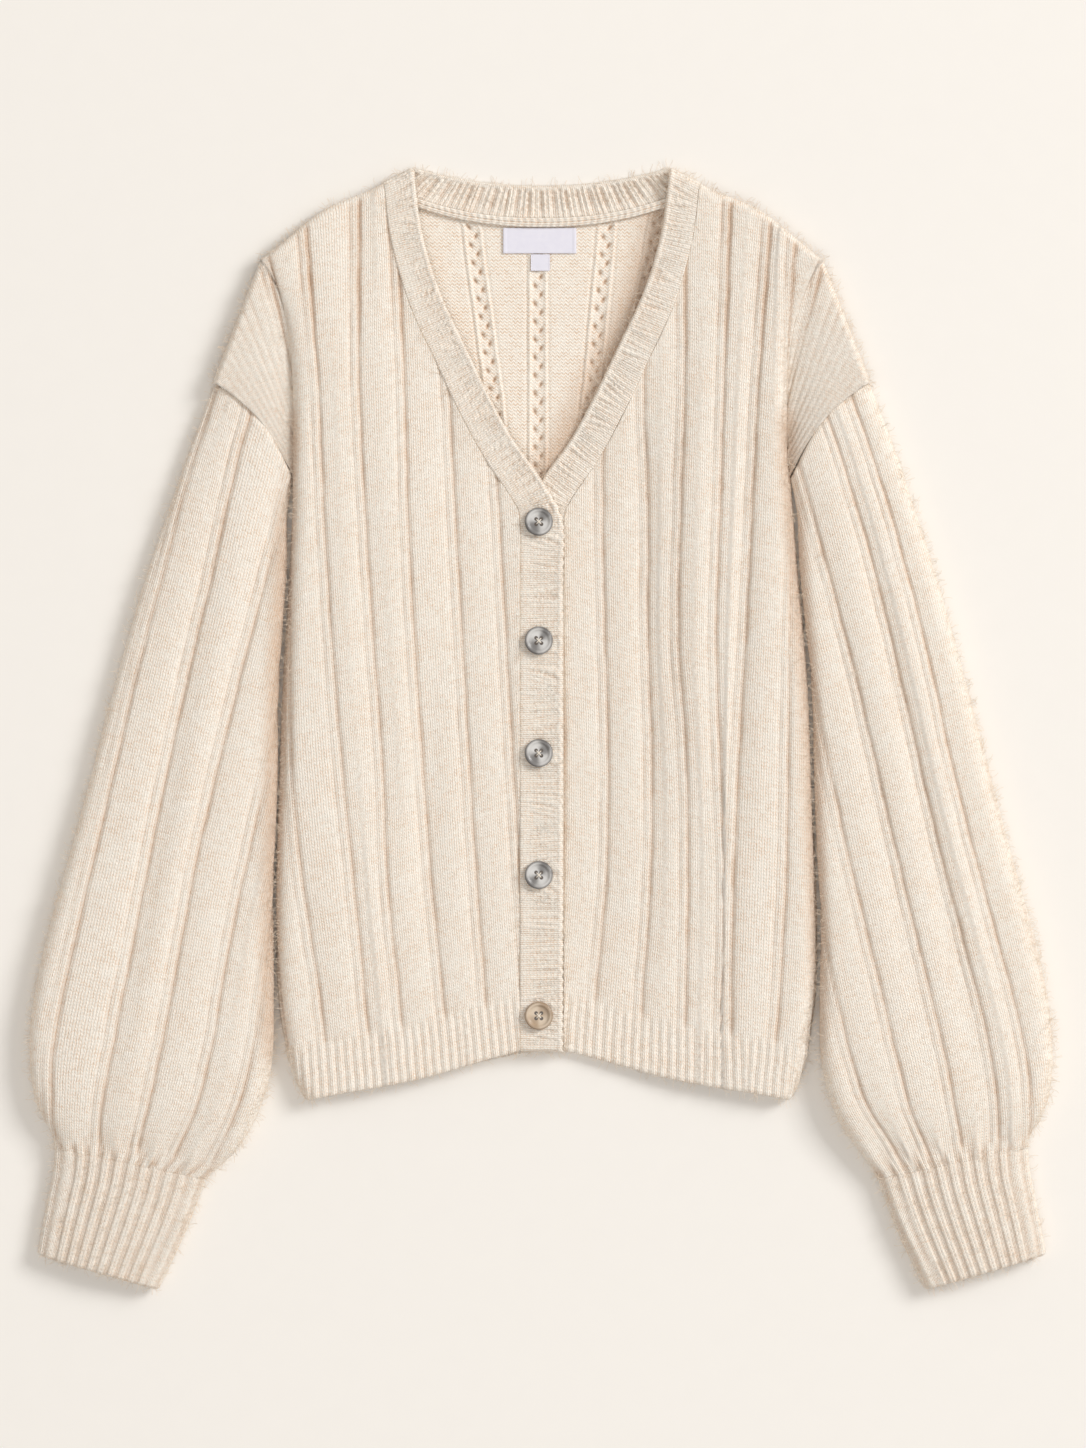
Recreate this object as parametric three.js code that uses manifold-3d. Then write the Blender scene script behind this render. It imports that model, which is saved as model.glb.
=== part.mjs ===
// A ribbed V-neck button cardigan, laid flat on its back.
// Millimetres. +X is the wearer's left, +Y points from the hem to the neck, +Z is up
// off the surface it lies on. The origin is under the middle of the garment.
// "Out" is the distance from the centre line towards the piece's own side.
import * as THREE from 'three';
import { mergeVertices } from 'three/addons/utils/BufferGeometryUtils.js';
import Module from 'manifold-3d';

// ---- Driving dimensions ------------------------------------------------------------

const KNIT = 3.2; // thickness of the wide-rib fabric of the body and sleeves
const RIB = 4; // thickness of the denser ribbed bands and cuffs
const GAP = 0.6; // clearance between pieces that are sewn or lie together
const ARC_STEPS = 4; // facets in a quarter turn of a rolled edge
const RIGHT = -1; // the wearer's right side lies at -X
const LEFT = 1;

// One row for each level of the fronts, hem to shoulder. free and seam are the band's
// two edges and fold is where the cloth turns over at the side, each [out, along].
// wider moves the left side's fold out. bow curves the row towards the neck. The rest
// are heights of the middle of the cloth: at the band's seam on the right front (it
// laps over) and on the left, on the open panel, and at the fold. roll is how far in
// from the fold the cloth starts to turn down.
const FRONT_ROWS = [
  { free: [-13.5, -207], seam: [14, -206.5], fold: [151, -238], wider: 9, bow: -3,
    over: 10, under: 5.6, open: 11, foot: 4.3, roll: 7 },
  { free: [-13.5, -192], seam: [14, -192], fold: [159, -222], wider: 7.5, bow: -2,
    over: 10, under: 5.6, open: 12, foot: 4.1, roll: 8 },
  { free: [-13.5, -174], seam: [14, -174], fold: [165.5, -199], wider: 7, bow: -1,
    over: 10, under: 5.6, open: 13, foot: 4.1, roll: 10 },
  { free: [-13.5, -146], seam: [14, -146], fold: [170, -164], wider: 6.5, bow: 0,
    over: 10, under: 5.6, open: 14, foot: 4.1, roll: 11 },
  { free: [-13.5, -100], seam: [14, -100], fold: [170.5, -112], wider: 6.5, bow: 0,
    over: 10, under: 5.6, open: 15, foot: 4.1, roll: 11 },
  { free: [-13.5, -40], seam: [14, -40], fold: [168.5, -46], wider: 5.5, bow: 0,
    over: 10, under: 5.6, open: 15.4, foot: 4.1, roll: 11 },
  { free: [-13.5, 30], seam: [14, 30], fold: [166, 30], wider: 4.5, bow: 0,
    over: 10, under: 5.6, open: 15.4, foot: 4.1, roll: 11 },
  { free: [-13.5, 92], seam: [14, 92], fold: [162.4, 98], wider: 2, bow: 0,
    over: 10, under: 5.6, open: 15, foot: 4.1, roll: 10 },
  { free: [-13.5, 132], seam: [14, 132], fold: [160.3, 140], wider: 1, bow: 0,
    over: 10, under: 5.6, open: 14.8, foot: 4.1, roll: 10 },
  { free: [-1, 158], seam: [18.5, 146], fold: [160, 160], wider: 0, bow: 0,
    over: 10, under: 5.6, open: 14.6, foot: 5.4, roll: 10 },
  { free: [18.5, 185.5], seam: [36.5, 173], fold: [159.5, 180], wider: -1, bow: 1,
    over: 10, under: 5.6, open: 14.4, foot: 5.6, roll: 10 },
  { free: [33.5, 213], seam: [52, 201], fold: [159.5, 206], wider: -1, bow: 2,
    over: 10, under: 7.2, open: 14.2, foot: 6, roll: 11 },
  { free: [48, 243], seam: [67, 233], fold: [160.5, 234], wider: -1, bow: 3,
    over: 10, under: 9, open: 14, foot: 7, roll: 12 },
  { free: [65, 279.5], seam: [84.5, 271], fold: [164, 262], wider: -1, bow: 5,
    over: 9.8, under: 9.8, open: 13.6, foot: 9, roll: 13 },
  { free: [76.5, 318], seam: [96.5, 313], fold: [172, 286], wider: 0, bow: 7,
    over: 9.4, under: 9.4, open: 13, foot: 11.4, roll: 13 },
  { free: [82, 358.2], seam: [101, 348.4], fold: [180, 300.5], wider: 0, bow: 6,
    over: 9, under: 9, open: 12.4, foot: 11.6, roll: 13 },
];
// Long soft folds that hang down the fronts from the shoulders, deepest half way.
const FOLDS = [
  { side: LEFT, top: [142, 290], bottom: [118, -190], depth: 1.8, reach: 10 },
  { side: LEFT, top: [90, 275], bottom: [95, -185], depth: 1.5, reach: 9 },
  { side: RIGHT, top: [118, 300], bottom: [93, -180], depth: 1.2, reach: 9 },
];
const UNDERARM_ROW = 9; // where the sleeve seam leaves the side fold
const TOP_EDGE_HEIGHT = RIB + 1.3 * GAP; // the shoulder fold ends just above the back
const TOP_EDGE_ROLL = 0.24; // the part of the last row's depth that turns down there
const SHOULDER_TIP = [211, 221.5]; // [out, along] end of the armhole seam
const ARMHOLE_BOW = 6; // how far the armhole seam bows towards the neck
const ARMHOLE_CREST = 13; // height of the cloth along the middle of that seam

// One row for each ring of a sleeve, armhole to cuff seam: its two edges, how much
// further out the left sleeve's inner edge lies, and the height of the upper cloth.
const SLEEVE_ROWS = [
  { outer: [210, 221.5], inner: [160.4, 159.1], wider: 0.6, top: 13, bow: ARMHOLE_BOW },
  { outer: [225, 182], inner: [164.5, 136], wider: 1, top: 14, bow: 3 },
  { outer: [239, 141], inner: [166.3, 106], wider: 2, top: 15, bow: 1 },
  { outer: [252.5, 100], inner: [168, 73], wider: 3, top: 15.6, bow: 0 },
  { outer: [265, 58], inner: [169.5, 30], wider: 4.5, top: 16, bow: 0 },
  { outer: [279, 6], inner: [171, -20], wider: 5.3, top: 16.6, bow: 0 },
  { outer: [292.5, -46], inner: [172.5, -72], wider: 5.8, top: 17.4, bow: 0 },
  { outer: [306, -95], inner: [173.5, -120], wider: 6.5, top: 18.4, bow: 0 },
  { outer: [318.5, -141], inner: [174, -168], wider: 6.5, top: 19.6, bow: 0 },
  { outer: [326, -180], inner: [173.5, -206], wider: 6.5, top: 20.2, bow: 0 },
  { outer: [327.5, -208], inner: [175, -226], wider: 6.5, top: 20, bow: 0 },
  { outer: [325, -233], inner: [181.5, -246], wider: 6, top: 19, bow: 0 },
  { outer: [319.5, -250], inner: [191.5, -264], wider: 6, top: 17.4, bow: 0 },
  { outer: [314.5, -260], inner: [203, -277], wider: 4, top: 15.6, bow: 0 },
  { outer: [312, -267], inner: [213.5, -286], wider: 1, top: 13.6, bow: 0 },
];
const CUFF_ROWS = [
  { outer: [312, -268.5], inner: [215, -288.5], wider: 0, top: 13.6, bow: 0 },
  { outer: [313, -283], inner: [220.5, -304], wider: 0, top: 13.4, bow: 0 },
  { outer: [317, -303], inner: [229, -325], wider: 0, top: 13.4, bow: 0 },
  { outer: [323.5, -337], inner: [245.5, -359.7], wider: 0, top: 13.2, bow: 0 },
];
const SLEEVE_ROLL = 11; // how far in from its edges a sleeve turns down
const SLEEVE_CROWN = 2; // how much its middle stands above its rolled edges

// The back neckband lies in one strip between the shoulder folds: its free edge, its
// seam to the back, and the knitted tape that covers that seam inside.
const NECK_FREE = { middle: 348.5, rise: 11.5, reach: 82, power: 2 };
const NECK_SEAM = { middle: 325.5, rise: 24, reach: 101, power: 2.5 };
const TAPE = { middle: 324.5, rise: 13.5, reach: 82, power: 2.2, width: 6, thick: 1.6 };

// The back is a little smaller all round than the fronts that turn over onto it.
const BACK_INSET = 0.5;
const BACK_HEM_RISE = 2;

const LABEL = { width: 47, height: 16.4, thick: 0.5, x: -1.2, top: 321.2 };
const SIZE_TAB = { width: 12.2, height: 10.6, thick: 0.5, x: -0.8 };

const BUTTON_ALONG = [132.5, 56.5, -15.5, -93.5, -183.5];
const BUTTON_X = -1.8;
const BUTTON = {
  radius: 9, thick: 3, edge: 0.6, dish: 6, dishDepth: 1, holeRadius: 0.8, holeOffset: 1.4,
};

const CREAM = 0xf0e2cf;
const SHELL_GREY = 0xb4b2b0;
const SHELL_BROWN = 0xc9b7a2;
const LABEL_WHITE = 0xe6e4f2;

// ---- Helpers -----------------------------------------------------------------------

// A smooth value between the rows of a table at position t, counted in rows.
function between(values, t) {
  const last = values.length - 1;
  const i = Math.min(Math.floor(t), last - 1);
  const f = t - i;
  const [a, b, c, d] = [-1, 0, 1, 2].map((k) => values[Math.min(Math.max(i + k, 0), last)]);
  const bend = (2 * a - 5 * b + 4 * c - d) * f * f + (3 * b - a - 3 * c + d) * f * f * f;
  return b + ((c - a) * f + bend) / 2;
}

// The table's row at position t, with every column worked out.
function rowAt(rows, t) {
  const row = {};
  for (const [name, value] of Object.entries(rows[0])) {
    row[name] = Array.isArray(value)
      ? value.map((_, axis) => between(rows.map((r) => r[name][axis]), t))
      : between(rows.map((r) => r[name]), t);
  }
  return row;
}

// Where and how high a quarter-round edge is, from flat (0) to upright (1).
const quarterTurn = Array.from({ length: ARC_STEPS + 1 }, (_, k) => {
  const angle = (k / ARC_STEPS) * (Math.PI / 2);
  return { inward: 1 - Math.sin(angle), height: Math.cos(angle) };
});

const mix = (a, b, f) => a + (b - a) * f;
const smooth = (f) => f * f * (3 - 2 * f);
const steps = (count) => Array.from({ length: count + 1 }, (_, k) => k / count);

// A closed cloth wall around the middle surface given by grids of points. Grids that
// share edge points are joined. The wall is half its thickness on either side.
function clothWall(grids, thickness) {
  const points = [];
  const faces = [];
  const known = new Map();
  const indexOf = (p) => {
    const key = p.toArray().map((value) => Math.round(value * 1000)).join();
    if (!known.has(key)) known.set(key, points.push(p) - 1);
    return known.get(key);
  };
  for (const grid of grids) {
    const ids = grid.map((line) => line.map(indexOf));
    for (let i = 0; i + 1 < ids.length; i += 1) {
      for (let j = 0; j + 1 < ids[i].length; j += 1) {
        const corners = [ids[i][j], ids[i][j + 1], ids[i + 1][j + 1], ids[i + 1][j]];
        for (const [a, b, c] of [[0, 1, 2], [0, 2, 3]]) {
          const face = [corners[a], corners[b], corners[c]];
          if (new Set(face).size === 3) faces.push(face);
        }
      }
    }
  }
  const normals = points.map(() => new THREE.Vector3());
  for (const [a, b, c] of faces) {
    const normal = points[b].clone().sub(points[a]).cross(points[c].clone().sub(points[a]));
    for (const id of [a, b, c]) normals[id].add(normal);
  }
  normals.forEach((normal) => normal.normalize().multiplyScalar(thickness / 2));

  const count = points.length;
  const position = [];
  points.forEach((p, id) => position.push(...p.clone().add(normals[id]).toArray()));
  points.forEach((p, id) => position.push(...p.clone().sub(normals[id]).toArray()));
  const index = [];
  const edges = new Set();
  for (const [a, b, c] of faces) {
    index.push(a, b, c, c + count, b + count, a + count);
    edges.add(`${a},${b}`).add(`${b},${c}`).add(`${c},${a}`);
  }
  for (const edge of edges) {
    const [a, b] = edge.split(',').map(Number);
    if (!edges.has(`${b},${a}`)) index.push(b, a, a + count, b, a + count, b + count);
  }
  const geometry = new THREE.BufferGeometry();
  geometry.setAttribute('position', new THREE.Float32BufferAttribute(position, 3));
  geometry.setIndex(index);
  return geometry;
}

// Grid lines run the other way on the side where they would face down.
const facingUp = (grid, side) => (side === RIGHT ? grid : grid.map((line) => [...line].reverse()));

const cardigan = new THREE.Group();

function addPiece(name, geometry, color, roughness = 1) {
  const material = new THREE.MeshStandardMaterial({ color, roughness, metalness: 0 });
  const mesh = new THREE.Mesh(geometry, material);
  mesh.name = name;
  cardigan.add(mesh);
  return mesh;
}

// ---- Fronts ------------------------------------------------------------------------

// Rows of the fronts from hem to shoulder, closer together where the shoulder rolls.
const lastRow = FRONT_ROWS.length - 1;
const rollRow = lastRow - TOP_EDGE_ROLL;
const FRONT_LEVELS = [
  ...steps(14).slice(0, -1).map((f) => f * UNDERARM_ROW),
  ...steps(6).slice(0, -1).map((f) => mix(UNDERARM_ROW, rollRow, f)),
  ...quarterTurn.map((turn) => mix(lastRow, rollRow, turn.inward)),
];

function frontRow(side, level) {
  const row = rowAt(FRONT_ROWS, level);
  const topTurn = Math.max(0, (level - rollRow) / (lastRow - rollRow));
  row.drop = Math.sqrt(1 - topTurn * topTurn);
  row.out = row.fold[0] + (side === LEFT ? row.wider : 0) - KNIT / 2;
  row.inner = side === RIGHT ? row.over : row.under;
  return row;
}

const dropped = (height, row) => mix(TOP_EDGE_HEIGHT, height, row.drop);

function foldDepth(side, out, along) {
  let depth = 0;
  for (const fold of FOLDS.filter((entry) => entry.side === side)) {
    const f = (fold.top[1] - along) / (fold.top[1] - fold.bottom[1]);
    const across = (out - mix(fold.top[0], fold.bottom[0], f)) / fold.reach;
    if (f > 0 && f < 1) depth += fold.depth * Math.sin(Math.PI * f) * Math.exp(-across * across);
  }
  return depth;
}

function frontPoint(side, row, f, height) {
  const [seamOut, seamAlong] = row.seam;
  const out = mix(seamOut + GAP / 2, row.out, f);
  const along = mix(seamAlong, row.fold[1], f) + row.bow * Math.sin(Math.PI * f) ** 2;
  return new THREE.Vector3(side * out, along, dropped(height - foldDepth(side, out, along), row));
}

// The panel from the band's seam to the fold at the side.
function frontPanelGrid(side) {
  return FRONT_LEVELS.map((level) => {
    const row = frontRow(side, level);
    const rollStart = 1 - row.roll / (row.out - row.seam[0]);
    const line = steps(9).slice(0, -1).map((f) => (
      frontPoint(side, row, f * rollStart, mix(row.inner, row.open, smooth(f)))
    ));
    for (const turn of quarterTurn) {
      const f = mix(1, rollStart, turn.inward);
      line.push(frontPoint(side, row, f, mix(row.foot, row.open, turn.height)));
    }
    return line;
  });
}

// A point of the armhole seam, from the underarm (0) to the shoulder tip (1).
function armholePoint(side, f) {
  const start = frontRow(side, UNDERARM_ROW);
  const out = mix(start.out, SHOULDER_TIP[0] - KNIT / 2, f);
  const bow = ARMHOLE_BOW * Math.sin(Math.PI * f);
  const along = mix(start.fold[1], SHOULDER_TIP[1], f) + bow;
  const height = mix(start.foot, ARMHOLE_CREST, Math.sin(Math.PI * Math.min(f, 0.6) / 1.2));
  return { out: out - bow * 0.6, along, height };
}

// The shoulder beyond the fold, between the fold line and the armhole seam.
function shoulderCapGrid(side) {
  const levels = FRONT_LEVELS.filter((level) => level >= UNDERARM_ROW);
  return levels.map((level) => {
    const row = frontRow(side, level);
    const fromUnderarm = (level - UNDERARM_ROW) / (lastRow - UNDERARM_ROW);
    const seam = armholePoint(side, fromUnderarm);
    return steps(5).map((f) => {
      const height = mix(row.foot, seam.height, smooth(f));
      const out = mix(row.out, seam.out, f);
      return new THREE.Vector3(side * out, mix(row.fold[1], seam.along, f), dropped(height, row));
    });
  });
}

function front(side) {
  const grids = [frontPanelGrid(side), shoulderCapGrid(side)];
  return clothWall(grids.map((grid) => facingUp(grid, side)), KNIT);
}

// ---- Bands -------------------------------------------------------------------------

// The ribbed band along a front edge, from hem to shoulder. The right one laps over.
function frontBand(side) {
  const grid = FRONT_LEVELS.map((level) => {
    const row = frontRow(side, level);
    return steps(2).map((f) => new THREE.Vector3(
      side * mix(row.free[0], row.seam[0] - GAP / 2, f),
      mix(row.free[1], row.seam[1], f),
      dropped(row.inner, row),
    ));
  });
  return clothWall([facingUp(grid, side)], RIB);
}

const neckCurve = (curve, x) => curve.middle + curve.rise * (Math.abs(x) / curve.reach) ** curve.power;
const neckEnd = (curve, place) => (
  new THREE.Vector2(place * curve.reach, neckCurve(curve, place * curve.reach))
);

// A flat strip across the back neck, between two curves.
function neckStrip(lower, upper, bottom, thick) {
  const grid = steps(24).map((f) => {
    const place = mix(-1, 1, f);
    return steps(2).map((g) => {
      const point = neckEnd(lower, place).lerp(neckEnd(upper, place), g);
      return new THREE.Vector3(point.x, point.y, bottom + thick / 2);
    });
  });
  return clothWall([grid], thick);
}

// ---- Back --------------------------------------------------------------------------

// The back is one flat panel. Its outline follows the fronts' folds and the armholes.
function backOutline() {
  const sideOf = (side) => {
    const hemRow = frontRow(side, 0);
    const hem = [
      [0, hemRow.seam[1] + BACK_HEM_RISE], [hemRow.out, hemRow.fold[1] + BACK_HEM_RISE],
    ];
    const sideSeam = steps(13).slice(1).map((f) => {
      const row = frontRow(side, f * UNDERARM_ROW);
      return [row.out + KNIT / 2 - BACK_INSET, row.fold[1]];
    });
    const armhole = steps(6).slice(1).map((f) => {
      const seam = armholePoint(side, f);
      return [seam.out, seam.along];
    });
    const shoulder = steps(8).slice(1).map((f) => {
      const row = frontRow(side, lastRow);
      const along = mix(row.fold[1], row.seam[1], f) + row.bow * Math.sin(Math.PI * f) ** 2;
      return [mix(row.out, row.seam[0], f), along - BACK_INSET];
    });
    const corner = frontRow(side, lastRow);
    const tip = [corner.out, corner.fold[1] - BACK_INSET];
    return [...hem, ...sideSeam, ...armhole, tip, ...shoulder]
      .map(([out, along]) => new THREE.Vector2(side * out, along));
  };
  const neck = steps(20).slice(1, -1).map((f) => {
    const x = mix(NECK_SEAM.reach, -NECK_SEAM.reach, f);
    return new THREE.Vector2(x, neckCurve(NECK_SEAM, x) - GAP);
  });
  const leftSide = sideOf(LEFT);
  const rightSide = sideOf(RIGHT).slice(1).reverse();
  return [...leftSide, ...neck, ...rightSide];
}

function backPanel() {
  const shape = new THREE.Shape(backOutline());
  const options = { depth: KNIT, bevelEnabled: false };
  return weld(new THREE.ExtrudeGeometry(shape, options));
}

function weld(geometry) {
  geometry.deleteAttribute('normal');
  geometry.deleteAttribute('uv');
  return mergeVertices(geometry, 1e-4);
}

// ---- Sleeves and cuffs -------------------------------------------------------------

// One ring of a flattened tube: flat underneath, rolled at both edges, crowned on top.
// Each entry is how far across from the inner edge, in millimetres, and the height.
function flatTubeRing(width, top, thickness) {
  const floor = thickness / 2;
  const shoulder = top - SLEEVE_CROWN;
  const middle = (floor + shoulder) / 2;
  const half = (shoulder - floor) / 2;
  const arc = steps(2 * ARC_STEPS).map((f) => (f - 0.5) * Math.PI);
  const innerEdge = arc.map((a) => [SLEEVE_ROLL * (1 - Math.cos(a)), middle + half * Math.sin(a)]);
  const upper = steps(6).slice(1, -1).map((f) => (
    [mix(SLEEVE_ROLL, width - SLEEVE_ROLL, f), shoulder + SLEEVE_CROWN * Math.sin(Math.PI * f)]
  ));
  const outerEdge = [...innerEdge].reverse().map(([across, z]) => [width - across, z]);
  const lower = steps(3).slice(1).map((f) => [mix(width - SLEEVE_ROLL, SLEEVE_ROLL, f), floor]);
  return [...innerEdge, ...upper, ...outerEdge, ...lower];
}

function flatTube(side, rows, ringCount, thickness) {
  const grid = steps(ringCount).map((f) => {
    const row = rowAt(rows, f * (rows.length - 1));
    const innerOut = row.inner[0] + (side === LEFT ? row.wider : 0);
    const inner = new THREE.Vector2(innerOut, row.inner[1]);
    const across = new THREE.Vector2(...row.outer).sub(inner);
    const width = across.length() - thickness;
    across.normalize();
    return flatTubeRing(width, row.top, thickness).map(([distance, z]) => {
      const place = inner.clone().addScaledVector(across, distance + thickness / 2);
      place.y += row.bow * Math.sin((Math.PI * distance) / width);
      place.x -= 0.6 * row.bow * Math.sin((Math.PI * distance) / width);
      return new THREE.Vector3(side * place.x, place.y, z);
    });
  });
  return clothWall([facingUp(grid, -side)], thickness);
}

// ---- Neck tape, label and size tab -------------------------------------------------

function neckTape() {
  const half = TAPE.width / 2;
  const lower = { ...TAPE, middle: TAPE.middle - half };
  const upper = { ...TAPE, middle: TAPE.middle + half };
  return neckStrip(lower, upper, RIB + GAP, TAPE.thick);
}

function flatLabel({ width, height, thick, x }, top) {
  const geometry = new THREE.BoxGeometry(width, height, thick);
  return geometry.translate(x, top - height / 2, KNIT + GAP + thick / 2);
}

// ---- Buttons -----------------------------------------------------------------------

const wasm = await Module();
wasm.setup();

function toSolid(geometry) {
  const welded = weld(geometry);
  return new wasm.Manifold(new wasm.Mesh({
    numProp: 3,
    vertProperties: new Float32Array(welded.attributes.position.array),
    triVerts: new Uint32Array(welded.index.array),
  }));
}

function fromSolid(solid) {
  const mesh = solid.getMesh();
  const geometry = new THREE.BufferGeometry();
  geometry.setAttribute('position', new THREE.BufferAttribute(mesh.vertProperties, 3));
  geometry.setIndex(new THREE.BufferAttribute(mesh.triVerts, 1));
  return geometry;
}

// A turned shell disc with a raised rim, a dished middle and four sewing holes.
function buttonShape() {
  const { radius, thick, dish, dishDepth, edge, holeRadius, holeOffset } = BUTTON;
  const profile = [
    [0, 0], [radius - 2 * edge, 0], [radius, thick / 2], [radius - edge / 2, thick - edge / 2],
    [radius - 2 * edge, thick], [dish + edge, thick - edge / 2], [dish, thick - dishDepth],
    [0, thick - dishDepth],
  ].map(([r, z]) => new THREE.Vector2(r, z));
  let solid = toSolid(new THREE.LatheGeometry(profile, 28).rotateX(Math.PI / 2));
  for (const [x, y] of [[1, 1], [-1, 1], [-1, -1], [1, -1]]) {
    const hole = new THREE.CylinderGeometry(holeRadius, holeRadius, thick * 3, 10);
    hole.rotateX(Math.PI / 2).translate(x * holeOffset, y * holeOffset, 0);
    solid = solid.subtract(toSolid(hole));
  }
  return fromSolid(solid);
}

// ---- Assembly ----------------------------------------------------------------------

addPiece('back', backPanel(), CREAM);
addPiece('front_right', front(RIGHT), CREAM);
addPiece('front_left', front(LEFT), CREAM);
addPiece('band_front_right', frontBand(RIGHT), CREAM);
addPiece('band_front_left', frontBand(LEFT), CREAM);
addPiece('band_back_neck', neckStrip(NECK_SEAM, NECK_FREE, 0, RIB), CREAM);
addPiece('neck_tape', neckTape(), CREAM);
for (const [name, side] of [['right', RIGHT], ['left', LEFT]]) {
  addPiece(`sleeve_${name}`, flatTube(side, SLEEVE_ROWS, 16, KNIT), CREAM);
  addPiece(`cuff_${name}`, flatTube(side, CUFF_ROWS, 4, RIB), CREAM);
}
addPiece('label', flatLabel(LABEL, LABEL.top), LABEL_WHITE, 0.6);
addPiece('size_tab', flatLabel(SIZE_TAB, LABEL.top - LABEL.height - GAP), LABEL_WHITE, 0.6);

const buttonSeat = FRONT_ROWS[UNDERARM_ROW].over + RIB / 2 + GAP;
BUTTON_ALONG.forEach((along, k) => {
  const color = k === BUTTON_ALONG.length - 1 ? SHELL_BROWN : SHELL_GREY;
  const button = addPiece(`button_${k + 1}`, buttonShape(), color, 0.3);
  button.position.set(BUTTON_X, along, buttonSeat);
});

export default cardigan;
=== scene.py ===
"""A cream wide-rib button cardigan, laid flat on its back. Sizes in the tables are millimetres."""

import math
from types import SimpleNamespace

import bmesh
import bpy
import numpy as np
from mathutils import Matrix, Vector


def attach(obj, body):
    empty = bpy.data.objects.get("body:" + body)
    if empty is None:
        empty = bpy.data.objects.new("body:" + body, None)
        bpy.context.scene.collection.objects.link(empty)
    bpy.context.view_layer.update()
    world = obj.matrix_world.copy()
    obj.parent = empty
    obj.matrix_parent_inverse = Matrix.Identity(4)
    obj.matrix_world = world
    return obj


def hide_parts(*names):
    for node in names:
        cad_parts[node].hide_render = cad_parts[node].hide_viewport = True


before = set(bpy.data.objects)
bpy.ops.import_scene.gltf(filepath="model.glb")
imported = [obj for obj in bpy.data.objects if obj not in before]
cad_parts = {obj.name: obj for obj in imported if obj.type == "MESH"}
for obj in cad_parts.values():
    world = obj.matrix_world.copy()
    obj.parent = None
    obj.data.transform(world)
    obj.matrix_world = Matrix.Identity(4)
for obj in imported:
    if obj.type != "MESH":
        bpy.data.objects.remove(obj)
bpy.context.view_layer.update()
scene = bpy.context.scene
scene.view_settings.view_transform = "Standard"

# ---- Camera, floor and light ---------------------------------------------------------
# The camera looks straight down. A large soft light stands low to the right and a
# little above, so that the shadows fall to the left. A weak one overhead fills them.

VIEW_HEIGHT = 0.927
CAMERA_ABOVE = 4.0
SENSOR = 36.0

camera_data = bpy.data.cameras.new("camera")
camera_data.sensor_fit = "VERTICAL"
camera_data.sensor_height = SENSOR
camera_data.lens = SENSOR * CAMERA_ABOVE / VIEW_HEIGHT
camera = bpy.data.objects.new("camera", camera_data)
camera.location = (0.0009, 0.0031, CAMERA_ABOVE + 0.01)
scene.collection.objects.link(camera)
scene.camera = camera


def soft_light(name, azimuth, elevation, distance, size, power, colour):
    """A square studio light that looks at the middle of the floor."""
    data = bpy.data.lights.new(name, "AREA")
    data.size = size
    data.energy = power
    data.color = colour
    light = bpy.data.objects.new(name, data)
    turn, lift = math.radians(azimuth), math.radians(elevation)
    light.location = (
        distance * math.cos(turn) * math.cos(lift),
        distance * math.sin(turn) * math.cos(lift),
        distance * math.sin(lift),
    )
    light.rotation_euler = (math.pi / 2 - lift, 0, turn + math.pi / 2)
    scene.collection.objects.link(light)


soft_light("key", azimuth=30, elevation=34, distance=9.0, size=3.2, power=545,
           colour=(1.0, 0.998, 0.995))
soft_light("overhead", azimuth=250, elevation=72, distance=6.0, size=4.0, power=75,
           colour=(1.0, 0.995, 0.99))

world = bpy.data.worlds.new("room")
scene.world = world
world.use_nodes = True
room_light = world.node_tree.nodes["Background"].inputs
room_light["Color"].default_value = (1.0, 0.96, 0.915, 1)
room_light["Strength"].default_value = 0.475


class Value:
    """One output of a shader node. Arithmetic on it adds the Math nodes that it needs."""

    def __init__(self, tree, socket):
        self.tree, self.socket = tree, socket

    def math(self, operation, *others, first=None):
        items = (self if first is None else first, *others)
        node = add_node(self.tree, "ShaderNodeMath", {"operation": operation},
                        dict(enumerate(items)))
        return Value(self.tree, node.outputs[0])

    def __add__(self, other):
        return self.math("ADD", other)

    def __sub__(self, other):
        return self.math("SUBTRACT", other)

    def __rsub__(self, other):
        return self.math("SUBTRACT", self, first=other)

    def __mul__(self, other):
        return self.math("MULTIPLY", other)

    def __abs__(self):
        return self.math("ABSOLUTE")

    __radd__, __rmul__ = __add__, __mul__

    def cosine(self):
        """The cosine of this many whole turns."""
        return (self * (2 * math.pi)).math("COSINE")

    def ramp(self, low, high):
        """0 below low and 1 above high, smooth between."""
        node = add_node(self.tree, "ShaderNodeMapRange", {"interpolation_type": "SMOOTHSTEP"},
                        {0: self, 1: low, 2: high, 3: 0.0, 4: 1.0})
        return Value(self.tree, node.outputs[0])


def plug(tree, slot, item):
    """Links a Value or a socket to an input, or sets a plain number or colour on it."""
    source = item.socket if isinstance(item, Value) else item
    if isinstance(source, bpy.types.NodeSocket):
        tree.links.new(source, slot)
    else:
        slot.default_value = source


def add_node(tree, kind, settings=None, values=None):
    """A node with its settings made first, then the values or links of its sockets."""
    made = tree.nodes.new(kind)
    for key, value in (settings or {}).items():
        setattr(made, key, value)
    for key, value in (values or {}).items():
        plug(tree, made.inputs[key], value)
    return made


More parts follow.
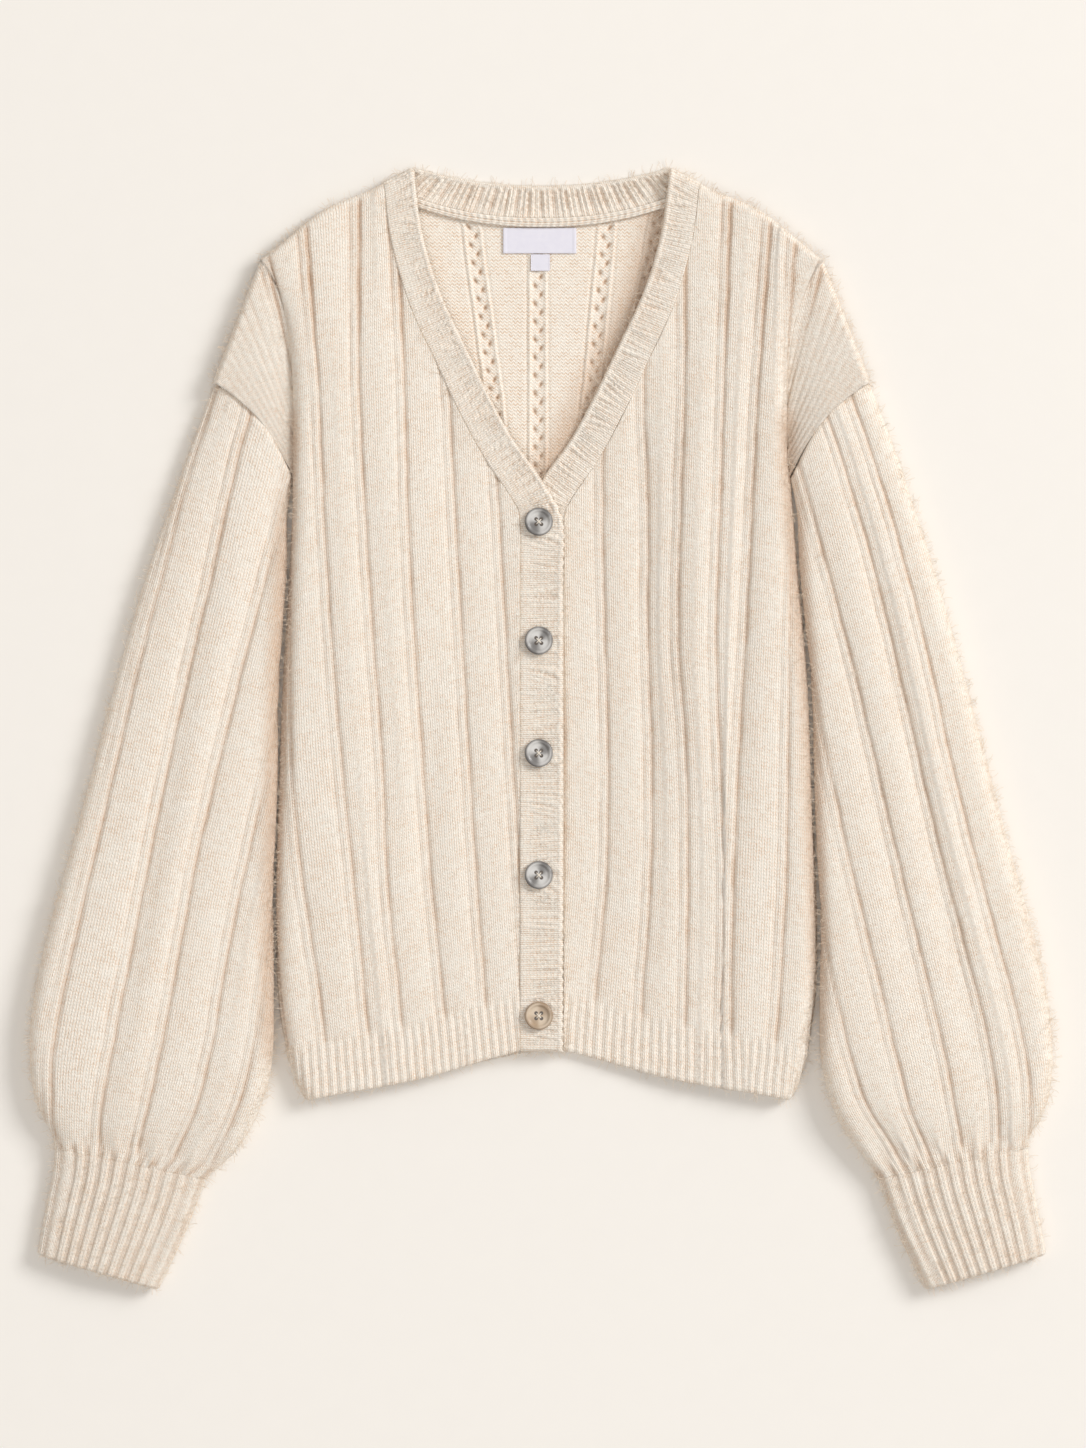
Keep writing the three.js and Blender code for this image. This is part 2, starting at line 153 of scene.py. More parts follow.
class Finish:
    """A material with its own nodes around one Principled shader."""

    def __init__(self, name, constants):
        self.material = bpy.data.materials.new(name)
        self.material.use_nodes = True
        self.tree = self.material.node_tree
        self.shader = self.tree.nodes["Principled BSDF"]
        for key, value in constants.items():
            self.shader.inputs[key].default_value = value

    def node(self, kind, output=0, settings=None, values=None):
        made = add_node(self.tree, kind, settings, values)
        return Value(self.tree, made.outputs[output])

    def place(self):
        return self.node("ShaderNodeTexCoord", "Object")

    def unwrapped(self, uv_map):
        """The two coordinates of a UV map."""
        flat = self.node("ShaderNodeUVMap", 0, {"uv_map": uv_map})
        split = add_node(self.tree, "ShaderNodeSeparateXYZ", None, {0: flat})
        return Value(self.tree, split.outputs[0]), Value(self.tree, split.outputs[1])

    def mix(self, factor, first, second):
        """Blends two colours. The Mix node's colour sockets are its 7th and 8th."""
        return self.node("ShaderNodeMix", 2, {"data_type": "RGBA"},
                         {0: factor, 6: first, 7: second})

    def noise(self, vector, scale, detail=2.0, roughness=0.5, distortion=0.0):
        return self.node("ShaderNodeTexNoise", 0, None, {
            "Vector": vector, "Scale": scale, "Detail": detail,
            "Roughness": roughness, "Distortion": distortion})

    def finish(self, colour, roughness=None, bump=None, distance=0.001, strength=1.0):
        plug(self.tree, self.shader.inputs["Base Color"], colour)
        if roughness is not None:
            plug(self.tree, self.shader.inputs["Roughness"], roughness)
        if bump is not None:
            normal = self.node("ShaderNodeBump", 0, None, {
                "Height": bump, "Distance": distance, "Strength": strength})
            plug(self.tree, self.shader.inputs["Normal"], normal)
        return self.material


def srgb(red, green, blue):
    """A colour given as 0 to 255 on screen, as the shader's linear value."""
    def linear(value):
        part = value / 255
        return part / 12.92 if part <= 0.04045 else ((part + 0.055) / 1.055) ** 2.4
    return (linear(red), linear(green), linear(blue), 1.0)


FLOOR_HALF = 4.0
floor_mesh = bpy.data.meshes.new("floor")
floor_mesh.from_pydata(
    [(-FLOOR_HALF, -FLOOR_HALF, 0), (FLOOR_HALF, -FLOOR_HALF, 0),
     (FLOOR_HALF, FLOOR_HALF, 0), (-FLOOR_HALF, FLOOR_HALF, 0)], [], [(0, 1, 2, 3)])
floor = bpy.data.objects.new("floor", floor_mesh)
floor_paper = Finish("floor_paper", {"Roughness": 0.9})
paper_grain = floor_paper.noise(floor_paper.place(), 60.0, 3.0)
floor_mesh.materials.append(floor_paper.finish(floor_paper.mix(
    paper_grain, srgb(244, 240, 234), srgb(246, 242, 236))))
scene.collection.objects.link(floor)

# ---- Knitted cloth -------------------------------------------------------------------
# All the cloth is one brushed wool-blend yarn. A wale is one column of stitches and a
# course is one row. Every piece carries a UV map counted in wales and courses.

MM = 0.001
WALE = 2.8
COURSE = 2.2
KNIT = 3.2  # thickness of the panels and sleeves
RIB = 4.0  # thickness of the bands and cuffs
RIGHT, LEFT = -1, 1
SIDES = ((RIGHT, "right"), (LEFT, "left"))


def between(rows, t):
    """A smooth value between the rows of a table at position t, counted in rows."""
    last = len(rows) - 1
    index = np.clip(np.floor(t).astype(int), 0, last - 1)
    f = (t - index)[..., None]
    a, b, c, d = (rows[np.clip(index + k, 0, last)] for k in (-1, 0, 1, 2))
    bend = (2 * a - 5 * b + 4 * c - d) * f**2 + (3 * b - a - 3 * c + d) * f**3
    return b + ((c - a) * f + bend) / 2


def table(columns, rows):
    """A table of numbers with named columns, read at any position between its rows."""
    names, values = columns.split(), np.array(rows, float)

    def read(t):
        found = between(values, np.asarray(t, float))
        return SimpleNamespace(**{name: found[..., k] for k, name in enumerate(names)})

    read.last = len(rows) - 1
    read.rows = values
    return read


def mix(a, b, f):
    return a + (b - a) * f


def smooth(value, low=0.0, high=1.0):
    f = np.clip((value - low) / (high - low), 0, 1)
    return f * f * (3 - 2 * f)


def bell(value, width):
    return np.exp(-((value / width) ** 2))


def wobble(value, period, seed):
    """A slow uneven wave between about -1 and 1, the same on every run."""
    phases = np.random.default_rng(seed).uniform(0, 2 * math.pi, 4)
    turns = (1.0, 1.7, 2.9, 4.3)
    waves = (np.sin(2 * math.pi * value * turn / period + phase) / turn**0.6
             for turn, phase in zip(turns, phases))
    return sum(waves) / 2.2


def face_normals(points, quads):
    """Area-weighted normals at a grid's points. Points in one place share theirs."""
    corners = points[quads]
    across = np.cross(corners[:, 2] - corners[:, 0], corners[:, 3] - corners[:, 1])
    _, shared = np.unique(np.round(points, 4), axis=0, return_inverse=True)
    shared = shared.ravel()
    total = np.zeros((shared.max() + 1, 3))
    for corner in quads.T:
        np.add.at(total, shared[corner], across)
    normals = total[shared]
    return normals / np.maximum(np.linalg.norm(normals, axis=1, keepdims=True), 1e-12)


def grid_quads(ids):
    return np.stack([ids[:-1, :-1], ids[:-1, 1:], ids[1:, 1:], ids[1:, :-1]], -1).reshape(-1, 4)


def arc_length(x, y):
    """The distance along a line at each of its points."""
    return np.append(0, np.cumsum(np.hypot(np.diff(x), np.diff(y))))


def facing_out(parts, turned):
    """The parts of a wall, with their columns turned round where it would be inside out."""
    return [part[:, ::-1] for part in parts] if turned else parts


def samples(count, step):
    """Every step-th place of a row of count places, with the last one."""
    return np.append(np.arange(0, count - 1, step), count - 1)


def cloth_wall(name, middle, thickness, relief, stitch, painted_shade, coarse=(4, 4), tube=False):
    """A closed wall around a grid of middle points. The outer side carries the relief,
    and the inner side has fewer rows and columns, because little of it shows. A tube's
    first and last columns are in one place and need no side walls."""
    rows, columns = middle.shape[:2]
    ids = np.arange(rows * columns).reshape(rows, columns)
    points = middle.reshape(-1, 3)
    normals = face_normals(points, grid_quads(ids))
    outer = points + normals * (thickness / 2 + relief.reshape(-1, 1))
    inner = points - normals * (thickness / 2)

    kept_rows, kept_columns = samples(rows, coarse[0]), samples(columns, coarse[1])
    kept = ids[np.ix_(kept_rows, kept_columns)]
    inner_ids = rows * columns + np.arange(kept.size).reshape(kept.shape)
    faces = grid_quads(ids).tolist() + grid_quads(inner_ids)[:, ::-1].tolist()
    side_walls = () if tube else ((0, 0, False), (-1, -1, True))
    for column, inner_column, turned in side_walls:
        for k in range(len(kept_rows) - 1):
            run = list(ids[kept_rows[k]:kept_rows[k + 1] + 1, column])
            ring = run + [inner_ids[k + 1, inner_column], inner_ids[k, inner_column]]
            faces.append(ring[::-1] if turned else ring)
    for row, inner_row, turned in ((0, 0, True), (-1, -1, False)):
        for k in range(len(kept_columns) - 1):
            run = list(ids[row, kept_columns[k]:kept_columns[k + 1] + 1])
            ring = run + [inner_ids[inner_row, k + 1], inner_ids[inner_row, k]]
            faces.append(ring[::-1] if turned else ring)

    vertices = np.concatenate([outer, inner[kept.ravel()]]) * MM
    mesh = bpy.data.meshes.new(name)
    mesh.from_pydata(vertices.tolist(), [], faces)
    places = np.concatenate([stitch.reshape(-1, 2), stitch.reshape(-1, 2)[kept.ravel()]])
    used = np.empty(len(mesh.loops), int)
    mesh.loops.foreach_get("vertex_index", used)
    mesh.uv_layers.new(name="stitches").data.foreach_set("uv", places[used].ravel())
    # Each point's painted shade, kept as an attribute for the yarn finish.
    depth = np.concatenate([painted_shade.ravel(), painted_shade.ravel()[kept.ravel()]])
    mesh.attributes.new("painted_shade", "FLOAT", "POINT").data.foreach_set("value", depth)

    edit = bmesh.new()
    edit.from_mesh(mesh)
    bmesh.ops.remove_doubles(edit, verts=edit.verts, dist=2e-6)
    bmesh.ops.dissolve_degenerate(edit, dist=1e-6, edges=edit.edges)
    edit.to_mesh(mesh)
    edit.free()
    mesh.shade_smooth()
    piece = bpy.data.objects.new(name, mesh)
    scene.collection.objects.link(piece)
    return piece


def declare(piece, node, finish):
    """The piece stands for a CAD node, lies still with it and takes its finish."""
    piece.data.materials.append(finish)
    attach(piece, "root")
    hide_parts(node)


# The deep cream is painted shade in the gaps between the loops, mixed with random mottle. The tan
# is painted shade in grooves, holes and the places other parts shadow, and the brown is painted
# shade inside the eyelets.
CREAM = srgb(255, 248, 237)
CREAM_DEEP = srgb(242, 213, 185)
PAINTED_SHADE_TAN = srgb(192, 146, 104)
HALO = srgb(255, 249, 238)
EYELET_SHADE_BROWN = srgb(150, 110, 76)


def yarn_finish(name, texture, relief, dots):
    """Brushed yarn. texture is "face" for rows of V stitches, or "purl" for their backs."""
    yarn = Finish(name, {"Roughness": 0.92, "Sheen Weight": 0.25, "Sheen Roughness": 0.45,
                         "Sheen Tint": (1.0, 0.93, 0.84, 1.0),
                         "Specular IOR Level": 0.2})
    wale, course = yarn.unwrapped("stitches")
    place = yarn.place()
    course = course + (yarn.noise(place, 330.0, 2.0) - 0.5) * 0.6
    wale = wale + (yarn.noise(place, 250.0, 1.0) - 0.5) * 0.25
    cell = yarn.node("ShaderNodeCombineXYZ", 0, None, {
        0: wale.math("ROUND"), 1: course.math("FLOOR")})
    chance = yarn.node("ShaderNodeTexWhiteNoise", 0, {"noise_dimensions": "2D"}, {
        "Vector": cell})
    side = abs(wale - wale.math("ROUND")) * 2
    leg = (side * 0.5 - 0.25).cosine().ramp(-0.15, 1.0)
    if texture == "face":
        loop = leg * ((course - side * 0.62).cosine() * 0.27 + 0.73)
    else:
        loop = (course + wale.cosine() * 0.24).cosine() * 0.5 + 0.5
    painted_shade = yarn.node("ShaderNodeAttribute", "Fac", {"attribute_name": "painted_shade"})
    fibres = [
        yarn.noise(yarn.node("ShaderNodeMapping", 0, None, {
            "Vector": place, "Rotation": (0, 0, math.radians(turn)),
            "Scale": (1900, 330, 600)}), 1.0, 2.0, 0.6, 0.6).ramp(0.5, 0.72)
        for turn in (18, 97, 152)
    ]
    fluff = fibres[0].math("MAXIMUM", fibres[1]).math("MAXIMUM", fibres[2])
    patchy = yarn.noise(place, 55.0, 3.0, 0.6).ramp(0.3, 0.72)
    mottle = yarn.noise(place, 620.0, 3.0, 0.65)
    # Painted shade in the gaps between the loops, with random mottle and tone per stitch.
    gap_shade_and_mottle = (1 - loop) * (0.75 - patchy * 0.25) + (mottle - 0.5) * 0.7 + (chance - 0.5) * 0.2
    colour = yarn.mix(gap_shade_and_mottle.ramp(0.05, 0.95), CREAM, CREAM_DEEP)
    # Painted shade in small holes between stitches.
    holes = (1 - loop).ramp(0.45, 0.95) * chance.ramp(0.66, 0.9)
    colour = yarn.mix(holes * 0.2, colour, PAINTED_SHADE_TAN)
    # Painted shade in dark pits along the gutters.
    pit_shade = course.cosine().ramp(0.1, 0.95) * (1 - leg).ramp(0.3, 0.95) * (chance * 0.7 + 0.5)
    colour = yarn.mix(pit_shade * painted_shade.ramp(0.25, 0.6) * dots, colour, PAINTED_SHADE_TAN)
    # Painted shade from the point attribute, tan in grooves, valleys and cast shadows.
    colour = yarn.mix(painted_shade.ramp(0.1, 1.1) * 0.6, colour, PAINTED_SHADE_TAN)
    colour = yarn.mix(fluff * 0.4, colour, HALO)
    # Dark brown painted shade inside the eyelets.
    colour = yarn.mix(painted_shade.ramp(1.1, 1.9), colour, EYELET_SHADE_BROWN)
    height = loop * 0.5 + fluff * 0.22 + mottle * 0.3
    return yarn.finish(colour, bump=height, distance=0.0013, strength=relief)


FACE = yarn_finish("knit_face", "face", relief=0.7, dots=0.6)
PURL = yarn_finish("knit_purl", "purl", relief=0.55, dots=0.3)

# ---- Fronts --------------------------------------------------------------------------
# Each front is one panel from the hem over the shoulder to the armhole seam, 3.2 thick,
# folded over at the side. Seven knit wales and a narrow purl-knit-purl gutter repeat.

# Each row of the table crosses the front, from the hem up. free is the band's free edge,
# seam the band's seam and fold the side fold; wider is added to fold_x on the left front.
# bow arches the row upward. Heights: over and under at the band's edge on the right and
# left front, open in the middle and foot at the fold. roll is how wide the side's curve is.
front_rows = table(
    "free_x free_y seam_x seam_y fold_x fold_y wider bow over under open foot roll", [
        (-13.5, -207, 14, -206.5, 151, -238, 9, -3, 10, 5.6, 11, 4.3, 7),
        (-13.5, -192, 14, -192, 159, -222, 7.5, -2, 10, 5.6, 12, 4.1, 8),
        (-13.5, -174, 14, -174, 165.5, -199, 7, -1, 10, 5.6, 13, 4.1, 10),
        (-13.5, -146, 14, -146, 170, -164, 6.5, 0, 10, 5.6, 14, 4.1, 11),
        (-13.5, -100, 14, -100, 170.5, -112, 6.5, 0, 10, 5.6, 15, 4.1, 11),
        (-13.5, -40, 14, -40, 168.5, -46, 5.5, 0, 10, 5.6, 15.4, 4.1, 11),
        (-13.5, 30, 14, 30, 166, 30, 4.5, 0, 10, 5.6, 15.4, 4.1, 11),
        (-13.5, 92, 14, 92, 162.4, 98, 2, 0, 10, 5.6, 15, 4.1, 10),
        (-13.5, 132, 14, 132, 160.3, 140, 1, 0, 10, 5.6, 14.8, 4.1, 10),
        (-1, 158, 18.5, 146, 160, 160, 0, 0, 10, 5.6, 14.6, 5.4, 10),
        (18.5, 185.5, 36.5, 173, 159.5, 180, -1, 1, 10, 5.6, 14.4, 5.6, 10),
        (33.5, 213, 52, 201, 159.5, 206, -1, 2, 10, 7.2, 14.2, 6, 11),
        (48, 243, 67, 233, 160.5, 234, -1, 3, 10, 9, 14, 7, 12),
        (65, 279.5, 84.5, 271, 164, 262, -1, 5, 9.8, 9.8, 13.6, 9, 13),
        (76.5, 318, 96.5, 313, 172, 286, 0, 7, 9.4, 9.4, 13, 11.4, 13),
        (82, 358.2, 101, 348.4, 180, 300.5, 0, 6, 9, 9, 12.4, 11.6, 13),
    ])
UNDERARM = 9  # the row at the foot of the armhole
TOP_ROLL = 0.24  # rows over which the shoulder turns down
TOP_EDGE = 4.8
TIP = (211.0, 221.5)  # where the armhole seam ends at the shoulder
ARMHOLE_BOW = 6.0
ARMHOLE_CREST = 13.0

# The middle of each gutter on the two fronts, as the distance out from the centre line.
GUTTERS = {
    RIGHT: table("along first second third fourth fifth", [
        (-240, 33, 60, 88, 110, 139),
        (-180, 38, 65, 93, 115, 143.5),
        (-100, 44, 73, 101, 122.5, 155.5),
        (-20, 49, 79, 104.5, 130.5, 164),
        (60, 53.5, 84.5, 110.5, 137, 166),
        (140, 58, 88.5, 115.5, 142, 170),
        (220, 62, 90.5, 119.5, 145.5, 173.5),
        (300, 66, 94, 119.5, 152, 180),
        (360, 69, 97, 119.5, 156, 184),
    ]),
    LEFT: table("along first second third fourth fifth sixth", [
        (-240, 28, 59, 89, 112, 120, 144),
        (-180, 31, 61.5, 89.5, 113, 118.5, 149),
        (-100, 38.5, 67, 91, 114.5, 119.5, 153.5),
        (-20, 40, 68, 90, 111.5, 123, 155),
        (60, 38, 65.5, 85, 109, 128, 156.5),
        (140, 36.5, 65.5, 86.5, 111.5, 132, 160),
        (220, 38, 63, 89, 114, 136, 161),
        (300, 42, 66, 89.5, 117, 142, 159),
        (360, 46, 70, 92, 119, 146, 164),
    ]),
}


def wale_number(tracks, out, along):
    """Counts wales from the centre line. Gutters are centred on every tenth. Where two
    gutters lie closer than ten wales, the wales between them fold out of sight."""
    levels = tracks.rows[:, 0]
    place = np.interp(along, levels, np.arange(len(levels)))
    lines = [line for name, line in vars(tracks(place)).items() if name != "along"]
    lines = [lines[0] - 10 * WALE, *lines, lines[-1] + 10 * WALE, lines[-1] + 20 * WALE]
    wale = (out - lines[0]) / WALE
    for k, (near, far) in enumerate(zip(lines, lines[1:])):
        f = (out - near) / (far - near)
        fit = np.minimum((far - near) / WALE, 10)
        hidden = (10 - fit) * smooth(f, 0.42, 0.58)
        wale = np.where(f >= 0, 10 * k + f * fit + hidden, wale)
    return wale


def wide_rib(side, wale, along, seed):
    """The relief of the wide rib, in millimetres, and the painted shade in its gutters. The
    gutter's deeper line is the one on its +X side."""
    nearest = np.round(wale / 10)
    offset = wale - 10 * nearest + 0.12 * wobble(along + 37 * nearest, 60, seed)
    depth = 1 + 0.25 * wobble(along + 91 * nearest, 90, seed + 1)
    trough = bell(offset - side, 0.5) * depth
    lesser = bell(offset + side, 0.45) * (0.5 + 0.3 * wobble(along + 57 * nearest, 120, seed + 3))
    valley = bell(offset, 2.4)
    crown = np.cos(math.pi * np.clip(offset / 5, -1, 1))
    relief = -1.15 * np.maximum(trough, lesser) - 0.5 * valley - 0.25 * crown
    return relief, np.clip(0.6 * np.maximum(trough, 0.7 * lesser) + 0.2 * valley, 0, 1)


def narrow_rib(wale, along, seed):
    """One knit wale and one purl wale in turn, as at the hem."""
    turn = wale + 0.1 * wobble(along, 30, seed)
    ridge = 0.5 + 0.5 * np.cos(math.pi * turn)
    # The second value is painted shade in the purl wales.
    return 0.25 - 1.05 * (1 - ridge) ** 1.3, 0.4 * (1 - ridge) ** 2


# Soft folds: where each starts and ends, how high it stands and how wide it is.
FOLDS = {
    RIGHT: [
        dict(top=(-70, 60), bottom=(-74, -140), rise=-1.5, width=11),
        dict(top=(-128, 120), bottom=(-126, -160), rise=1.1, width=14),
        dict(top=(-100, 290), bottom=(-84, 60), rise=0.9, width=16),
    ],
    LEFT: [
        dict(top=(64, 190), bottom=(72, -60), rise=-1.3, width=10),
        dict(top=(97, 220), bottom=(97, -60), rise=1.6, width=11),
        dict(top=(135, 300), bottom=(121, -190), rise=-1.8, width=8),
        dict(top=(124, -30), bottom=(126, -215), rise=1.0, width=8),
        dict(top=(104, -20), bottom=(106, -200), rise=-1.2, width=9),
    ],
}


def fold_height(folds, x, y):
    height = np.zeros_like(x)
    for fold in folds:
        (top_x, top_y), (foot_x, foot_y) = fold["top"], fold["bottom"]
        f = (top_y - y) / (top_y - foot_y)
        across = x - mix(top_x, foot_x, f)
        ends = smooth(f, -0.25, 0.3) * (1 - smooth(f, 0.7, 1.25))
        height += fold["rise"] * ends * bell(across, fold["width"])
    return height


def front_row(side, t):
    """A row of the front's table, with the left side's differences worked in."""
    row = front_rows(t)
    turn = np.clip((t - (front_rows.last - TOP_ROLL)) / TOP_ROLL, 0, 1)
    row.drop = np.sqrt(np.maximum(1 - turn**2, 0))
    row.out = row.fold_x + (row.wider if side == LEFT else 0) - KNIT / 2
    row.inner = row.over if side == RIGHT else row.under
    return row


def front_levels(step):
    """Places along the front, hem to shoulder, closer where the shoulder rolls over."""
    lower = np.arange(0, UNDERARM, step)
    start = np.array([0.0, 0.03, 0.07, 0.12, 0.18, 0.25])
    roll_start = front_rows.last - TOP_ROLL
    upper = np.linspace(UNDERARM, roll_start, int((roll_start - UNDERARM) / step))[:-1]
    turn = np.sin(np.linspace(0, math.pi / 2, 9))
    return np.concatenate([start, lower[lower > 0.3], upper, roll_start + TOP_ROLL * turn])


def armhole_line(side, f):
    """A point of the armhole seam, from the underarm (0) to the shoulder tip (1)."""
    start = front_row(side, np.full_like(f, UNDERARM, float))
    bow = ARMHOLE_BOW * np.sin(math.pi * f)
    out = mix(start.out, TIP[0] - KNIT / 2, f) - 0.6 * bow
    along = mix(start.fold_y, TIP[1], f) + bow
    height = mix(start.foot, ARMHOLE_CREST, np.sin(math.pi * np.minimum(f, 0.6) / 1.2))
    return out, along, height


def rounded_edge(distance, radius, thickness):
    """How far the outer side drops at an edge, so that the wall's rim is round."""
    f = np.clip(distance / radius, 0, 1)
    return -0.8 * thickness * (1 - np.sqrt(1 - (1 - f) ** 2))


HEM_DEPTH = 36.0
FRONT_STEP = 0.064
FRONT_POINTS, ROLL_POINTS, CAP_POINTS = 140, 13, 43
# The cap runs from the side fold to the armhole seam. Its wales fan out from a point.
CAP_PIVOT = (139.0, 137.0)
CAP_WALES = 30.0
CAP_START = 60
CAP_RIDGE = 3


def build_front(side):
    levels = front_levels(FRONT_STEP)
    t = levels[:, None]
    row = front_row(side, t)
    roll_start = 1 - row.roll / (row.out - row.seam_x)

    flat = np.linspace(0, 1, FRONT_POINTS + 1)[None, :-1]
    turn = np.linspace(0, math.pi / 2, ROLL_POINTS)[None, :]
    f = np.concatenate([flat * roll_start, mix(roll_start, 1, np.sin(turn))], axis=1)
    lift = np.concatenate([
        mix(row.inner, row.open, smooth(np.broadcast_to(flat, (len(levels), flat.size)))),
        mix(row.foot, row.open, np.cos(turn)),
    ], axis=1)
    unrolled = np.concatenate([
        flat * roll_start, roll_start + (1 - roll_start) * turn * 1.15], axis=1)

    out = mix(row.seam_x, row.out, f)
    sway = row.bow * np.sin(math.pi * f) ** 2
    along = mix(row.seam_y, row.fold_y, f) + sway
    lift = lift + fold_height(FOLDS[side], side * out, along) * smooth(f, 0.03, 0.12)
    flat_out = mix(row.seam_x, row.out, unrolled)
    wale = wale_number(GUTTERS[side], flat_out, along)

    cap = np.linspace(0, 1, CAP_POINTS + 1)[None, 1:]
    rise = np.clip((t - UNDERARM) / (front_rows.last - UNDERARM), 0, 1)
    seam_out, seam_along, seam_lift = armhole_line(side, rise)
    reach = np.where(t > UNDERARM, 1.0, 0.0)
    cap_out = mix(row.out, seam_out, cap * reach)
    cap_along = mix(row.fold_y, seam_along, cap * reach)
    cap_lift = mix(row.foot, seam_lift, smooth(cap * np.ones_like(t)) * reach)
    turned = np.degrees(np.arctan2(cap_along - CAP_PIVOT[1], cap_out - CAP_PIVOT[0]))
    tip_angle = math.degrees(math.atan2(TIP[1] - CAP_PIVOT[1], TIP[0] - CAP_PIVOT[0]))
    corner_angle = np.degrees(np.arctan2(
        row.fold_y[-1] - CAP_PIVOT[1], row.out[-1] - CAP_PIVOT[0]))
    cap_fan = CAP_WALES * (corner_angle - turned) / (corner_angle - tip_angle)
    cap_wale = mix(wale[:, -1:], CAP_START + cap_fan, reach)

    x = side * np.concatenate([out, cap_out], axis=1)
    y = np.concatenate([along, cap_along], axis=1)
    z = mix(TOP_EDGE, np.concatenate([lift, cap_lift], axis=1), row.drop)
    wale = np.concatenate([wale, cap_wale], axis=1)
    course = np.cumsum(np.hypot(
        np.diff(x, axis=0, prepend=x[:1]), np.diff(y, axis=0, prepend=y[:1])), axis=0)

    relief, painted_shade = wide_rib(side, wale, y, seed=11 if side == RIGHT else 23)
    rib_relief, rib_shade = narrow_rib(wale, y, seed=5)
    on_cap = np.concatenate([0 * f, smooth(cap, 0.05, 0.4) * reach], axis=1)
    dip = 0.5 + 0.5 * np.cos(2 * math.pi * wale / CAP_RIDGE)
    relief = mix(relief, -0.15 - 0.5 * dip**1.5, on_cap)
    # Painted shade in the dips of the cap.
    painted_shade = mix(painted_shade, 0.05 + 0.4 * dip**2, on_cap)
    hem = 1 - smooth(course, HEM_DEPTH - 5, HEM_DEPTH + 3)
    relief = mix(relief, rib_relief, hem)
    painted_shade = mix(painted_shade, rib_shade, hem)
    fade = 1 - smooth(t, front_rows.last - TOP_ROLL, front_rows.last)
    relief = relief * fade + rounded_edge(course, 3.0, KNIT)
    # Painted shade in the side valley beside the sleeve, wider on the left front, and the gutters'
    # painted shade made darker towards the shoulder.
    from_fold = np.abs(np.abs(x) - row.out)
    reached = 15 if side == LEFT else 7
    valley = (1 - smooth(from_fold, 0, reached)) * smooth(y, -225, -110)
    valley = valley * (1 - smooth(y, 190, 225))
    opened = 1 + 0.7 * smooth(y, 235, 290)
    painted_shade = np.maximum(painted_shade * opened, 0.9 * valley) * fade
    stitch = np.stack([wale, course / COURSE], -1)
    middle = np.stack([x, y, z], -1)
    parts = middle, relief, stitch, painted_shade
    return facing_out(parts, side == RIGHT)


fronts = {}
for side, word in SIDES:
    middle, relief, stitch, painted_shade = build_front(side)
    front = cloth_wall(f"knit_front_{word}", middle, KNIT, relief, stitch, painted_shade)
    declare(front, f"front_{word}", FACE)
    fronts[side] = front

# ---- Back ----------------------------------------------------------------------------
# One flat panel, wide rib outside. Through the neck shows its purl side, with openwork
# channels: two raised cords, and between them small eyelets that lie left and right.

NECK_SEAM = SimpleNamespace(middle=325.5, rise=24, reach=101, power=2.5)
NECK_FREE = SimpleNamespace(middle=348.5, rise=11.5, reach=82, power=2)
CHANNELS = table("along far_right right middle left far_left", [
    (100, -42, -20, -2.5, 20, 38),
    (215, -58, -30.5, -2.5, 31.5, 54),
    (240, -64, -34.5, -2.5, 34.5, 60),
    (320, -85, -44.5, -2.5, 41.5, 73),
    (350, -92, -48, -2.5, 44, 78),
])
CORD_OFFSET = 5.25
EYELET_OFFSET = 1.9
EYELET_PITCH = 11.5
HEM_MIDDLE = -204.5  # the hem rises here, at the centre line


def neck_curve(curve, x):
    return curve.middle + curve.rise * (np.abs(x) / curve.reach) ** curve.power


def back_edge(side):
    """The side of the back from the hem to the shoulder tip, and its place along it."""
    row = front_row(side, np.linspace(0, UNDERARM, 60))
    out, along, _ = armhole_line(side, np.linspace(0, 1, 30)[1:])
    x = side * np.concatenate([row.out + KNIT / 2 - 0.5, out])
    y = np.concatenate([row.fold_y + 1.5 * (row.fold_y < -230), along])
    length = arc_length(x, y)
    return x, y, length / length[-1]


def back_top(x):
    """The upper edge of the back: shoulder slopes and the back neck."""
    corner = front_row(RIGHT, np.array([float(front_rows.last)]))
    edge_out, tip_out = corner.out[0], TIP[0] - KNIT / 2
    f = (np.abs(x) - NECK_SEAM.reach) / (edge_out - NECK_SEAM.reach)
    slope = mix(corner.seam_y[0], corner.fold_y[0], f) + corner.bow[0] * np.sin(math.pi * f) ** 2
    g = np.clip((np.abs(x) - edge_out) / (tip_out - edge_out), 0, 1)
    beyond = mix(corner.fold_y[0], TIP[1], g)
    y = np.where(np.abs(x) > edge_out, beyond, slope)
    return np.where(np.abs(x) < NECK_SEAM.reach, neck_curve(NECK_SEAM, x) - 0.6, y - 0.5)


